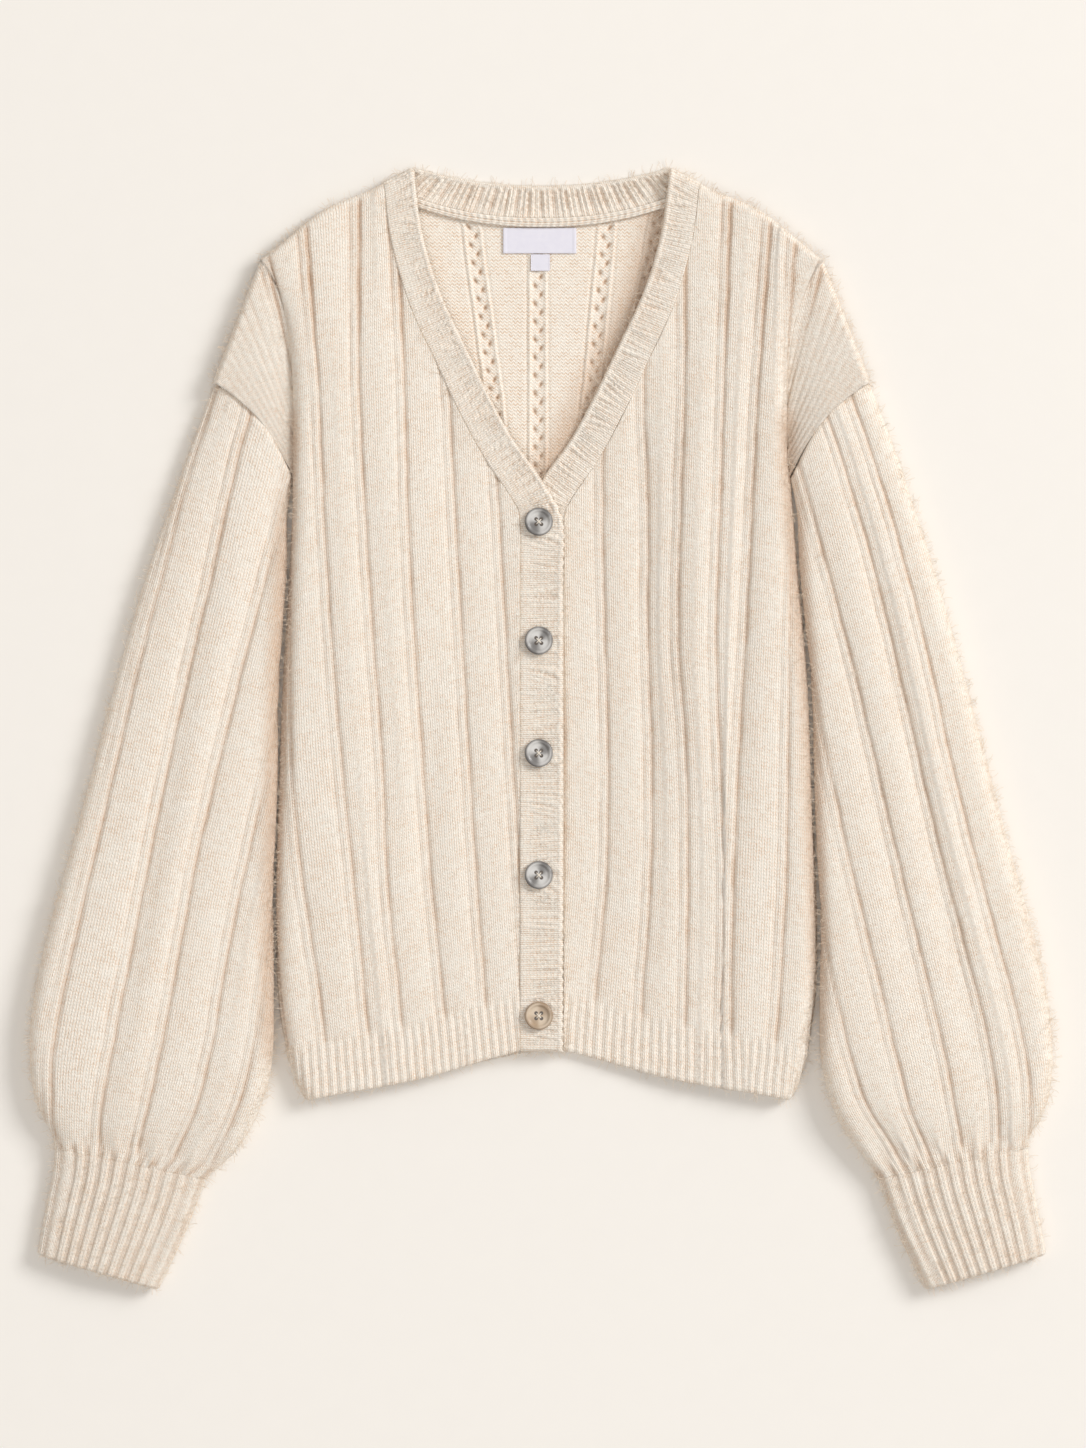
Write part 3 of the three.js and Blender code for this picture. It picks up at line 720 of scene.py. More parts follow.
def build_back():
    wide = TIP[0] - KNIT / 2
    fine = np.arange(-104, 104.1, 1.05)
    outer = np.linspace(-wide, -105, 22)
    top_x = np.concatenate([outer, fine, -outer[::-1]])
    u = (top_x + wide) / (2 * wide)
    v = np.concatenate([np.linspace(0, 0.62, 34)[:-1], np.linspace(0.62, 1, 165)])[:, None]
    right_x, right_y, right_v = back_edge(RIGHT)
    left_x, left_y, left_v = back_edge(LEFT)
    rx, ry = np.interp(v, right_v, right_x), np.interp(v, right_v, right_y)
    lx, ly = np.interp(v, left_v, left_x), np.interp(v, left_v, left_y)
    hem_y = mix(HEM_MIDDLE, right_y[0], np.abs(2 * u - 1))
    x = v * top_x + (1 - u) * rx + u * lx - v * mix(-wide, wide, u)
    y = ((1 - v) * hem_y + v * back_top(top_x) + (1 - u) * ry + u * ly
         - (1 - v) * mix(right_y[0], left_y[0], u) - v * TIP[1])

    levels = CHANNELS.rows[:, 0]
    lines = CHANNELS(np.interp(y, levels, np.arange(len(levels))))
    relief, painted_shade = np.zeros_like(x), np.zeros_like(x)
    for k, name in enumerate(("far_right", "right", "middle", "left", "far_left")):
        offset = x - getattr(lines, name)
        cord = bell(np.abs(offset) - CORD_OFFSET, 0.75)
        groove = bell(np.abs(offset) - CORD_OFFSET - 1.7, 0.8)
        relief += 0.75 * cord - 0.5 * groove - 0.35 * bell(offset, 4.2)
        # Painted shade in the grooves beside the cords.
        painted_shade = np.maximum(painted_shade, 0.45 * groove)
        for sign in (-1, 1):
            step = (y + 3.1 * k) / EYELET_PITCH + sign / 4
            gap = (step - np.round(step)) * EYELET_PITCH
            slant = offset - sign * EYELET_OFFSET - 0.35 * sign * gap
            eyelet = bell(np.hypot(slant, gap * 0.62), 1.2)
            relief -= 1.9 * eyelet
            # Painted shade inside each eyelet.
            painted_shade = np.maximum(painted_shade, 1.75 * eyelet)
    # Painted shadow that the left front's band casts on the back inside the neck, darkest towards
    # its free edge.
    edge = np.interp(y, front_rows.rows[:, 1], front_rows.rows[:, 0])
    painted_shade = np.maximum(painted_shade, 0.85 * smooth(x, edge - 34, edge - 2))
    visible = smooth(y, 100, 125)
    # Painted shade along the back's sides below the armholes, where it shows between the fronts
    # and the sleeves.
    sleeve_gap_shade = smooth(np.abs(2 * u - 1) + 0 * v, 0.86, 0.95) * smooth(y, -230, -120)
    painted_shade = np.maximum(painted_shade * visible, sleeve_gap_shade)
    stitch = np.stack([x / WALE, y / COURSE], -1)
    middle = np.stack([x, y, np.full_like(x, KNIT / 2)], -1)
    return middle, relief * visible, stitch, painted_shade


middle, relief, stitch, painted_shade = build_back()
back = cloth_wall("knit_back", middle, KNIT, relief, stitch, painted_shade)
declare(back, "back", PURL)

# ---- Front bands ---------------------------------------------------------------------
# A ribbed band 4 thick, knitted sideways in one strip up each front edge to the
# shoulder. Its ribs run across it in pairs that join in a small arch at the free edge.

BAND_PERIOD = 5.7


def arches(along, up, period, spread, top):
    """How far a place is from the nearest of the raised wales that join in arches."""
    offset = (along / period - np.round(along / period)) * period
    return np.abs(np.hypot(offset, np.maximum(up - top, 0)) - spread)


def rib_band(along, up, width, period, spread, slant, seed):
    """Relief of a ribbed band whose free edge is at up = width. Its ribs slant a little
    to one side or the other."""
    lean = slant * wobble(along, 75, seed + 3)
    drift = wobble(along, 34, seed)
    swayed = along + lean * up + drift + 0.6 * wobble(along + up * 3, 13, seed + 1)
    distance = arches(swayed, up, period, spread, width - 2.4 - spread)
    uneven = 1 + 0.35 * wobble(along, 21, seed + 2)
    ridge = bell(distance, 0.17 * period) * uneven
    rim = bell(width - up - 1.4, 1.6)
    raised = np.clip(np.maximum(ridge, rim), 0, 1.15)
    foot = 1 - 0.5 * smooth(up, width.mean() * 0.5, 2)
    slot = bell(swayed / period - np.round(swayed / period), 0.2)
    relief = -1.5 * (1 - raised) * foot
    # The second value is painted shade between the ribs, deepest in the slots.
    return relief, np.clip((1 - raised) * (0.25 + 0.5 * slot), 0, 1) * foot


def even_levels(last, spacing, place):
    """Table positions from 0 to last that lie evenly along the line place(t) gives."""
    dense = np.linspace(0, last, 1500)
    x, y = place(front_rows(dense))
    length = arc_length(x, y)
    return np.interp(np.linspace(0, length[-1], int(length[-1] / spacing)), length, dense)


def build_band(side):
    roll_start = front_rows.last - TOP_ROLL
    turn = np.sin(np.linspace(0, math.pi / 2, 10))
    levels = np.concatenate([
        even_levels(roll_start, 0.85, lambda row: (row.free_x, row.free_y)),
        roll_start + TOP_ROLL * turn[1:]])
    row = front_row(side, levels[:, None])
    g = np.concatenate([[0, 0.015, 0.04, 0.075], np.linspace(0.11, 0.94, 24), [0.97, 1]])[None]
    x = side * mix(row.free_x, row.seam_x, g)
    y = mix(row.free_y, row.seam_y, g)
    z = mix(TOP_EDGE, row.inner, row.drop) + np.zeros_like(g)
    width = np.hypot(x[:, -1:] - x[:, :1], y[:, -1:] - y[:, :1])
    centre = g.size // 2
    length = arc_length(x[:, centre], y[:, centre])[:, None] + np.zeros_like(g)
    up = width * (1 - g)
    relief, painted_shade = rib_band(length, up, width, BAND_PERIOD, spread=1.45, slant=0.3,
                              seed=31 if side == RIGHT else 47)
    scallop = 0.6 * np.cos(2 * math.pi * length / BAND_PERIOD) * (1 - g) ** 8
    x = x - side * scallop * (y < 150)
    fade = row.drop ** 0.5
    relief = relief * fade + rounded_edge(width - up, 2.6, RIB) * 0.55
    relief += rounded_edge(up, 1.2, RIB) * 0.25 + rounded_edge(length, 2.5, RIB)
    stitch = np.stack([length / WALE, up / COURSE], -1)
    parts = np.stack([x, y, z], -1), relief, stitch, painted_shade * fade
    return facing_out(parts, side == RIGHT)


bands = {}
for side, word in SIDES:
    middle, relief, stitch, painted_shade = build_band(side)
    band = cloth_wall(f"rib_band_{word}", middle, RIB, relief, stitch, painted_shade, (3, 4))
    declare(band, f"band_front_{word}", FACE)
    bands[side] = band

# ---- Back neckband and tape ----------------------------------------------------------
# The back neckband is a 23 wide strip of the same rib in larger arches. A chain-knit
# tape, 6 wide, covers its seam inside and ends under the front bands.

TAPE = SimpleNamespace(middle=324.5, rise=13.5, reach=82, power=2.2)
TAPE_WIDTH = 6.0
TAPE_THICK = 1.6
CHAIN = 4.3  # length of one link of the tape


def strip_between(lower, upper, places, shares, lift):
    """Points of a strip across the back neck, and the distances along and up it."""
    ends = [np.stack([places * curve.reach, neck_curve(curve, places * curve.reach)], -1)
            for curve in (lower, upper)]
    flat = mix(ends[0][:, None], ends[1][:, None], shares[None, :, None])
    middle = np.concatenate([flat, np.full(flat.shape[:2] + (1,), lift)], -1)
    centre = flat[:, len(shares) // 2]
    steps = np.hypot(*np.diff(centre, axis=0).T)
    along = np.append(0, np.cumsum(steps))
    width = np.hypot(*(ends[1] - ends[0]).T)[:, None]
    return middle, (along - along[-1] / 2)[:, None] + 0 * width * shares, width * shares, width


shares = np.concatenate([np.linspace(0, 0.86, 26), [0.9, 0.93, 0.955, 0.975, 0.99, 1]])
middle, along, up, width = strip_between(
    NECK_SEAM, NECK_FREE, np.linspace(1, -1, 330), shares, RIB / 2)
relief, painted_shade = rib_band(along, up, width, period=7.9, spread=2.3, slant=0.05, seed=63)
relief = 1.15 * relief + rounded_edge(width - up, 3.2, RIB) * 0.7
stitch = np.stack([along / WALE, up / COURSE], -1)
neckband = cloth_wall("rib_neckband", middle, RIB, relief, stitch, painted_shade, (3, 4))
declare(neckband, "band_back_neck", FACE)

lower = SimpleNamespace(**{**vars(TAPE), "middle": TAPE.middle - TAPE_WIDTH / 2})
upper = SimpleNamespace(**{**vars(TAPE), "middle": TAPE.middle + TAPE_WIDTH / 2})
middle, along, up, width = strip_between(
    lower, upper, np.linspace(1, -1, 300), np.linspace(0, 1, 15), RIB + 0.6 + TAPE_THICK / 2)
across = 2 * up / width - 1
chain = 0.5 + 0.5 * np.cos(2 * math.pi * (along / CHAIN - 0.42 * np.abs(across)))
relief = (0.55 * chain * (1 - bell(across, 0.16)) - 0.5 * bell(across, 0.14)
          - 1.0 * np.abs(across) ** 3)
# Painted shade between the chain's links and down its middle.
painted_shade = 0.5 * (1 - chain) * (1 - np.abs(across)) + 0.35 * bell(across, 0.12)
stitch = np.stack([across, along / CHAIN], -1)
tape = cloth_wall("chain_tape", middle, TAPE_THICK, relief, stitch, painted_shade, (3, 3))
declare(tape, "neck_tape", FACE)

# ---- Sleeves -------------------------------------------------------------------------
# Balloon sleeves of the same wide rib, each a flat tube 3.2 thick with its seam below
# on the inner side. The gutters run its length and draw together into the cuff.

SLEEVE_ROLL = 11.0
SLEEVE_CROWN = 2.0
# Each row of these tables crosses the tube, from the armhole down. wider is added to
# inner_x on the left, top is the height, and bow arches the row towards the shoulder.
sleeve_rows = table("outer_x outer_y inner_x inner_y wider top bow", [
    (209.2, 222.6, 158.8, 160.8, 0.6, 13, ARMHOLE_BOW),
    (225, 182, 163, 136, 1, 14, 3),
    (239, 141, 163.4, 106, 2, 15, 1),
    (252.5, 100, 165.1, 73, 3, 15.6, 0),
    (265, 58, 167.3, 30, 4.5, 16, 0),
    (279, 6, 168.9, -20, 5.3, 16.6, 0),
    (292.5, -46, 170.3, -72, 5.8, 17.4, 0),
    (306, -95, 171.3, -120, 6.5, 18.4, 0),
    (318.5, -141, 171.7, -168, 6.5, 19.6, 0),
    (326, -180, 172, -206, 6.5, 20.2, 0),
    (327.5, -208, 175, -226, 6.5, 20, 0),
    (325, -233, 181.5, -246, 6, 19, 0),
    (319.5, -250, 191.5, -264, 6, 17, 0),
    (314.5, -260, 203, -277, 4, 15.4, 0),
    (312, -268.2, 214.6, -288, 0.3, 13.8, 0),
])
cuff_rows = table("outer_x outer_y inner_x inner_y wider top bow", [
    (311.9, -266.6, 214.4, -286.6, 0, 13.6, 0),
    (313, -283, 220.5, -304, 0, 13.4, 0),
    (317, -303, 229, -325, 0, 13.4, 0),
    (323.5, -337, 245.5, -359.7, 0, 13.2, 0),
])
SLEEVE_GUTTERS = {
    RIGHT: table("along fifth fourth third second first", [
        (-300, 228, 250, 267, 288, 315),
        (-275, 212, 238, 262, 286.5, 314.5),
        (-240, 196, 222.5, 254, 283.5, 316.5),
        (-200, 186, 212.5, 245, 276, 315),
        (-140, 177, 202.5, 234, 264.5, 303),
        (-80, 165, 190, 223, 253, 289),
        (-20, 150, 176, 209, 241, 275),
        (40, 137, 163, 194, 228, 261),
        (100, 124, 150, 178, 214, 245),
        (160, 108, 134, 162, 201, 229),
        (240, 84, 112, 142, 182, 206),
    ]),
    LEFT: table("along fifth fourth third second first", [
        (-300, 240, 256, 272, 291, 312),
        (-275, 226, 246, 267, 290, 311),
        (-240, 205, 231.6, 261, 288.5, 310),
        (-200, 192, 221.3, 252.5, 282.5, 305),
        (-140, 179, 207.3, 238.5, 268, 290),
        (-80, 166, 192.8, 224.3, 252.5, 274),
        (-20, 154, 180, 210.5, 238.7, 259),
        (40, 140, 167, 196.5, 225, 246),
        (100, 125, 152, 180.5, 210.5, 231),
        (160, 110, 136, 164, 193, 213.5),
        (240, 90, 114, 142, 169, 189),
    ]),
}


def flat_tube(side, rows, t, thickness, counts):
    """Middle points of a flattened tube, with the unrolled distance round each ring
    from its inner edge, the flat places that those distances reach, and its widths."""
    row = rows(t[:, None])
    edge, across, below = counts
    floor, shoulder = thickness / 2, row.top - SLEEVE_CROWN
    turn = np.linspace(-math.pi / 2, math.pi / 2, edge)[None, :]
    half, level = (shoulder - floor) / 2, (shoulder + floor) / 2
    inner_x = row.inner_x + (row.wider if side == LEFT else 0)
    width = np.hypot(row.outer_x - inner_x, row.outer_y - row.inner_y) - thickness
    f = np.linspace(0, 1, across)[None, 1:-1]
    g = np.linspace(0, 1, below)[None, 1:]
    reach = np.concatenate([
        SLEEVE_ROLL * (1 - np.cos(turn)) + 0 * width,
        mix(SLEEVE_ROLL, width - SLEEVE_ROLL, f),
        width - SLEEVE_ROLL * (1 - np.cos(turn[:, ::-1])),
        mix(width - SLEEVE_ROLL, SLEEVE_ROLL, g),
    ], axis=1)
    height = np.concatenate([
        level + half * np.sin(turn),
        shoulder + SLEEVE_CROWN * np.sin(math.pi * f),
        level + half * np.sin(turn[:, ::-1]),
        floor + 0 * (width + g),
    ], axis=1)
    run = np.concatenate([0 * width, np.cumsum(
        np.hypot(np.diff(reach, axis=1), np.diff(height, axis=1)), axis=1)], axis=1)
    unrolled = run - run[:, edge - 1:edge] + SLEEVE_ROLL

    step_x = (row.outer_x - inner_x) / (width + thickness)
    step_y = (row.outer_y - row.inner_y) / (width + thickness)
    sway = row.bow * np.sin(math.pi * reach / width)
    out = inner_x + step_x * (reach + thickness / 2) - 0.6 * sway
    along = row.inner_y + step_y * (reach + thickness / 2) + sway
    flat_out = inner_x + step_x * (unrolled + thickness / 2) - 0.6 * sway
    flat_along = row.inner_y + step_y * (unrolled + thickness / 2) + sway
    middle = np.stack([side * out, along, height], -1)
    return middle, unrolled, flat_out, flat_along, width


def seam_fade(run, total):
    """0 at the seam below the inner edge and 1 away from it."""
    return smooth(run, 0, 5) * smooth(total - run, 0, 5)


def tube_piece(name, side, thickness, parts):
    middle, relief, stitch, painted_shade = facing_out(parts, side == LEFT)
    return cloth_wall(name, middle, thickness, relief, stitch, painted_shade, tube=True)


def course_lengths(middle):
    steps = np.linalg.norm(np.diff(middle, axis=0), axis=-1).mean(axis=1)
    return np.append(0, np.cumsum(steps))[:, None]


SLEEVE_FOLDS = {
    RIGHT: [
        dict(top=(-206, 150), bottom=(-275, -230), rise=-1.6, width=9),
        dict(top=(-186, 90), bottom=(-250, -230), rise=-0.9, width=8),
        dict(top=(-190, 120), bottom=(-262, -220), rise=0.8, width=9),
    ],
    LEFT: [
        dict(top=(203, 150), bottom=(281, -230), rise=-2.0, width=9),
        dict(top=(214, 150), bottom=(296, -230), rise=0.9, width=9),
        dict(top=(186, 90), bottom=(250, -230), rise=-1.2, width=8),
    ],
}
GATHER = 34.0  # how far above the cuff the gathers start
GATHER_WALES = 5
INNER_EDGE = 20  # how far round the tube the inner side goes
CUFF_WALES_ACROSS = 46
SLEEVE_LEVELS, CUFF_LEVELS = 215, 64
# Points round each turned edge, across the top and below.
SLEEVE_POINTS, CUFF_POINTS = (20, 122, 46), (18, 130, 70)


def cuff_rib(run, width, course):
    """Two knit wales and two purl wales in turn: the relief and the painted shade in the grooves.
    """
    wale = (run + 3) / width * CUFF_WALES_ACROSS
    turn = wale / 4 - np.round(wale / 4)
    pair = np.maximum(bell(turn - 0.125, 0.085), bell(turn + 0.125, 0.085))
    groove = 1 - smooth(np.abs(turn), 0.2, 0.33)
    uneven = 1 + 0.2 * wobble(course + 13 * np.round(wale / 4), 40, 97)
    relief = (-1.25 * (1 - groove) - 0.35 * (1 - pair) * groove) * uneven
    return wale, relief, np.clip(0.5 * (1 - groove) + 0.15 * (1 - pair) * groove, 0, 1)


def build_sleeve(side):
    t = np.linspace(0, sleeve_rows.last, SLEEVE_LEVELS)
    middle, run, flat_out, flat_along, width = flat_tube(
        side, sleeve_rows, t, KNIT, SLEEVE_POINTS)
    total = run[:, -1:] - run[:, :1]
    wale = wale_number(SLEEVE_GUTTERS[side], flat_out, flat_along)
    relief, painted_shade = wide_rib(side, wale, flat_along, seed=71 if side == RIGHT else 83)
    course = course_lengths(middle)
    left_over = course[-1] - course
    gather = (1 - smooth(left_over, 4, GATHER)) + 0 * run
    pucker = 0.5 - 0.5 * np.cos(2 * math.pi * wale / GATHER_WALES)
    relief = relief * (1 + 0.5 * gather) - 1.1 * gather * pucker
    # Painted shade in the gathers.
    painted_shade = np.clip(painted_shade + 0.3 * gather * pucker, 0, 1)
    _, drawn_relief, drawn_shade = cuff_rib(run, width, course)
    drawn = 1 - smooth(left_over, 1, 15) + 0 * run
    relief = mix(relief, drawn_relief, drawn)
    painted_shade = mix(painted_shade, 1.3 * drawn_shade, drawn)
    upper = smooth(middle[..., 2], 2.2, 6)
    ends = 1 - smooth(course, 0, 3) + 0 * run
    relief = (relief * seam_fade(run - run[:, :1], total) - ends) * upper
    middle[..., 2] += upper * fold_height(SLEEVE_FOLDS[side], middle[..., 0], middle[..., 1])
    # Painted shadow of the body on the sleeve's inner side, wider and darker on the right sleeve.
    inward = np.abs(middle[..., 0]) - np.abs(middle[..., 0]).min(axis=1, keepdims=True)
    reached, deepest = (16, 1.0) if side == RIGHT else (10, 0.8)
    beside_body = smooth(sleeve_rows(t[:, None]).top, 12, 15) * smooth(left_over, 50, 110)
    body_shadow = (1 - smooth(inward, 0, reached)) * beside_body * (run < INNER_EDGE)
    painted_shade = np.maximum(painted_shade * upper, deepest * body_shadow)
    stitch = np.stack([wale, course / COURSE + 0 * run], -1)
    return middle, relief, stitch, painted_shade


def build_cuff(side):
    rim = 0.15
    straight = cuff_rows.last - rim
    t = np.concatenate([np.linspace(0, straight, CUFF_LEVELS), straight + rim * np.sin(
        np.linspace(0, math.pi / 2, 8))[1:]])
    middle, run, _, _, width = flat_tube(side, cuff_rows, t, RIB, CUFF_POINTS)
    total = run[:, -1:] - run[:, :1]
    course = course_lengths(middle)
    wale, relief, painted_shade = cuff_rib(run, width, course)
    upper = smooth(middle[..., 2], 2.4, 6)
    relief = relief * upper * seam_fade(run - run[:, :1], total)
    relief += rounded_edge(course[-1] - course, 2.6, RIB) * (0.35 + 0.65 * upper)
    relief -= 0.35 * (1 - smooth(course, 0, 5)) * upper
    stitch = np.stack([wale, course / COURSE + 0 * run], -1)
    return middle, relief, stitch, painted_shade


sleeves, cuffs = [], []
for side, word in SIDES:
    sleeve = tube_piece(f"knit_sleeve_{word}", side, KNIT, build_sleeve(side))
    declare(sleeve, f"sleeve_{word}", FACE)
    cuff = tube_piece(f"rib_cuff_{word}", side, RIB, build_cuff(side))
    declare(cuff, f"cuff_{word}", FACE)
    sleeves.append(sleeve)
    cuffs.append(cuff)

# ---- Labels --------------------------------------------------------------------------
# A woven satin label and a size tab below it, both bare, sewn flat to the back. The
# label's ends are folded under, and show as a narrow raised strip.

label_satin = Finish("label_satin", {"Roughness": 0.42, "Sheen Weight": 0.1})
place = label_satin.place()
weft = label_satin.node("ShaderNodeTexWave", "Fac", {"bands_direction": "Y"}, {
    "Vector": place, "Scale": 900.0, "Distortion": 1.2, "Detail": 2.0})
label_satin.finish(label_satin.mix(
    label_satin.noise(place, 240.0, 3.0), srgb(232, 230, 243), srgb(243, 241, 250)),
    bump=weft, distance=0.0001, strength=0.6)


LABEL_THICK = 0.5
LABEL_HEIGHT = 4.05  # its middle, just above the back


def satin_label(name, node, width, height, x, top, fold):
    """A flat woven label, thicker by its folded ends and dipped along its stitches."""
    u = np.linspace(-width / 2, width / 2, 95)[None]
    v = np.linspace(height, 0, 33)[:, None]
    ends = smooth(np.abs(u), width / 2 - fold - 0.3, width / 2 - fold)
    stitches = bell(np.abs(u) - width / 2 + fold + 0.4, 0.25) * (0.5 + 0.5 * np.cos(v * 4))
    edge = np.minimum(width / 2 - np.abs(u), np.minimum(v, height - v))
    relief = 0.16 * ends - 0.16 * stitches - 0.12 * (1 - smooth(edge, 0, 0.35))
    middle = np.stack(np.broadcast_arrays(x + u, top - v, LABEL_HEIGHT + 0 * u * v), -1)
    flat = np.stack(np.broadcast_arrays(u / WALE, v / COURSE), -1)
    label = cloth_wall(name, middle, LABEL_THICK, relief, flat, 0 * u * v, (8, 8))
    declare(label, node, label_satin.material)


satin_label("woven_label", "label", width=47, height=16.4, x=-1.2, top=321.2, fold=2.2)
satin_label("woven_size_tab", "size_tab", width=12.2, height=10.6, x=-0.8, top=304.2,
            fold=0.4)

# ---- Buttons -------------------------------------------------------------------------
# Five turned shell buttons, 18 across and 3 thick, sewn to the right front band with
# a cross of yarn. Four are grey. The lowest is a beige-brown one with a higher rim.

BUTTON_RADIUS = 9
BUTTON_X = -1.8
BUTTON_ALONG = (132.5, 56.5, -15.5, -93.5, -183.5)
BUTTON_SEAT = 12.6
HOLE_RADIUS = 1.0
HOLE_OFFSET = 1.7
STRAND_RADIUS = 0.34


def lathe(profile, sides):
    """Vertices and faces of a closed shape turned about Z from (radius, height) pairs."""
    angles = np.linspace(0, 2 * math.pi, sides, endpoint=False)
    radius, height = np.array(profile, float).T
    ring = np.stack([np.cos(angles), np.sin(angles), np.ones(sides)], -1)
    vertices = ring[None] * np.stack([radius, radius, height], -1)[:, None]
    ids = np.arange(len(profile) * sides).reshape(len(profile), sides)
    ids = np.concatenate([ids, ids[:, :1]], axis=1)
    faces = grid_quads(ids)[:, ::-1].tolist()
    return vertices.reshape(-1, 3), faces + [ids[0, -2::-1].tolist(), ids[-1, :-1].tolist()]


def solid_object(name, vertices, faces):
    mesh = bpy.data.meshes.new(name)
    mesh.from_pydata((np.asarray(vertices) * MM).tolist(), [], faces)
    solid = bpy.data.objects.new(name, mesh)
    scene.collection.objects.link(solid)
    return solid


def drilled_button(name, profile):
    """The turned disc with its four holes cut through."""
    disc = solid_object(name, *lathe(profile, 96))
    drill_vertices, drill_faces = [], []
    for x in (-HOLE_OFFSET, HOLE_OFFSET):
        for y in (-HOLE_OFFSET, HOLE_OFFSET):
            bore, faces = lathe([(HOLE_RADIUS, -2), (HOLE_RADIUS, 6)], 20)
            first = len(bore) * len(drill_vertices)
            drill_faces += [[first + corner for corner in face] for face in faces]
            drill_vertices.append(bore + (x, y, 0))
    drill = solid_object("drill", np.concatenate(drill_vertices), drill_faces)
    cut = disc.modifiers.new("holes", "BOOLEAN")
    cut.object, cut.operation, cut.solver = drill, "DIFFERENCE", "MANIFOLD"
    made = bpy.data.meshes.new_from_object(
        disc.evaluated_get(bpy.context.evaluated_depsgraph_get()))
    bpy.data.objects.remove(drill)
    bpy.data.objects.remove(disc)
    return made


def shell_finish(name, light, dark, rim):
    """Polished shell with ring grain, under a painted highlight that sweeps round the button. Its
    outer rim is darker.
    """
    shell = Finish(name, {"Roughness": 0.34, "Specular IOR Level": 0.55, "Coat Weight": 0.2})
    x, y = shell.unwrapped("disc")
    radius = (x * x + y * y).math("SQRT")
    turn = y.math("ARCTAN2", x) * (0.5 / math.pi)
    # The light and dark quarters that sweep round are a painted highlight; the rings are the
    # shell's grain.
    painted_highlight_sweep = (turn * 2 + shell.noise(shell.place(), 120.0) * 0.5).cosine() * 0.5 + 0.5
    rings = shell.node("ShaderNodeTexNoise", 0, {"noise_dimensions": "1D"}, {
        "W": radius, "Scale": 26.0, "Detail": 3.0})
    colour = shell.mix((painted_highlight_sweep * 0.75 + rings * 0.4).ramp(0.15, 0.95), dark, light)
    hole = HOLE_OFFSET / BUTTON_RADIUS
    across, up = abs(x) - hole, abs(y) - hole
    near_hole = (across * across + up * up).math("SQRT")
    # Painted shade in and around the four holes.
    colour = shell.mix((0.15 - near_hole).ramp(0.0, 0.03), colour, srgb(84, 74, 66))
    colour = shell.mix(radius.ramp(0.8, 0.99) * 0.75, colour, rim)
    return shell.finish(colour, roughness=rings * 0.15 + 0.26)


GREY_SHELL = shell_finish("grey_shell", srgb(214, 212, 209), srgb(118, 115, 113),
                          srgb(78, 74, 72))
BROWN_SHELL = shell_finish("brown_shell", srgb(214, 196, 174), srgb(176, 152, 126),
                           srgb(140, 114, 88))
THREAD = Finish("sewing_yarn", {"Roughness": 0.85})
THREAD.finish(THREAD.mix(
    THREAD.noise(THREAD.place(), 2500.0), srgb(236, 224, 206), srgb(250, 242, 230)))

DISHED = [(0.4, 0), (7.6, 0), (8.5, 0.5), (9, 1.4), (8.95, 2.1), (8.6, 2.65), (8, 2.95),
          (7.4, 3), (6.9, 2.8), (6.5, 2.4), (6, 2.1), (5, 2), (0.4, 1.95)]
RIMMED = [(0.4, 0), (7.6, 0), (8.5, 0.5), (9, 1.4), (9, 2.2), (8.7, 2.75), (8.1, 3),
          (7.3, 3), (6.7, 2.6), (6.4, 1.9), (5.8, 1.6), (4.5, 1.5), (0.4, 1.5)]


def thread_strand(start, end, height):
    """One strand of yarn over the face of the button, from hole to hole."""
    steps, sides = 9, 8
    t = np.linspace(0, 1, steps)
    path = np.stack([mix(start[0], end[0], t), mix(start[1], end[1], t),
                     height - 1.1 + 1.7 * np.sin(math.pi * t) ** 0.5], -1)
    along = np.gradient(path, axis=0)
    along /= np.linalg.norm(along, axis=1, keepdims=True)
    across = np.cross(along, (0, 0, 1))
    across /= np.linalg.norm(across, axis=1, keepdims=True)
    lift = np.cross(across, along)
    turn = np.linspace(0, 2 * math.pi, sides, endpoint=False)[None, :, None]
    round_it = across[:, None] * np.cos(turn) + lift[:, None] * np.sin(turn)
    ring = path[:, None] + STRAND_RADIUS * round_it
    ids = np.arange(steps * sides).reshape(steps, sides)
    ids = np.concatenate([ids, ids[:, :1]], axis=1)
    faces = grid_quads(ids).tolist() + [ids[0, :-1].tolist(), ids[-1, -2::-1].tolist()]
    return ring.reshape(-1, 3), faces


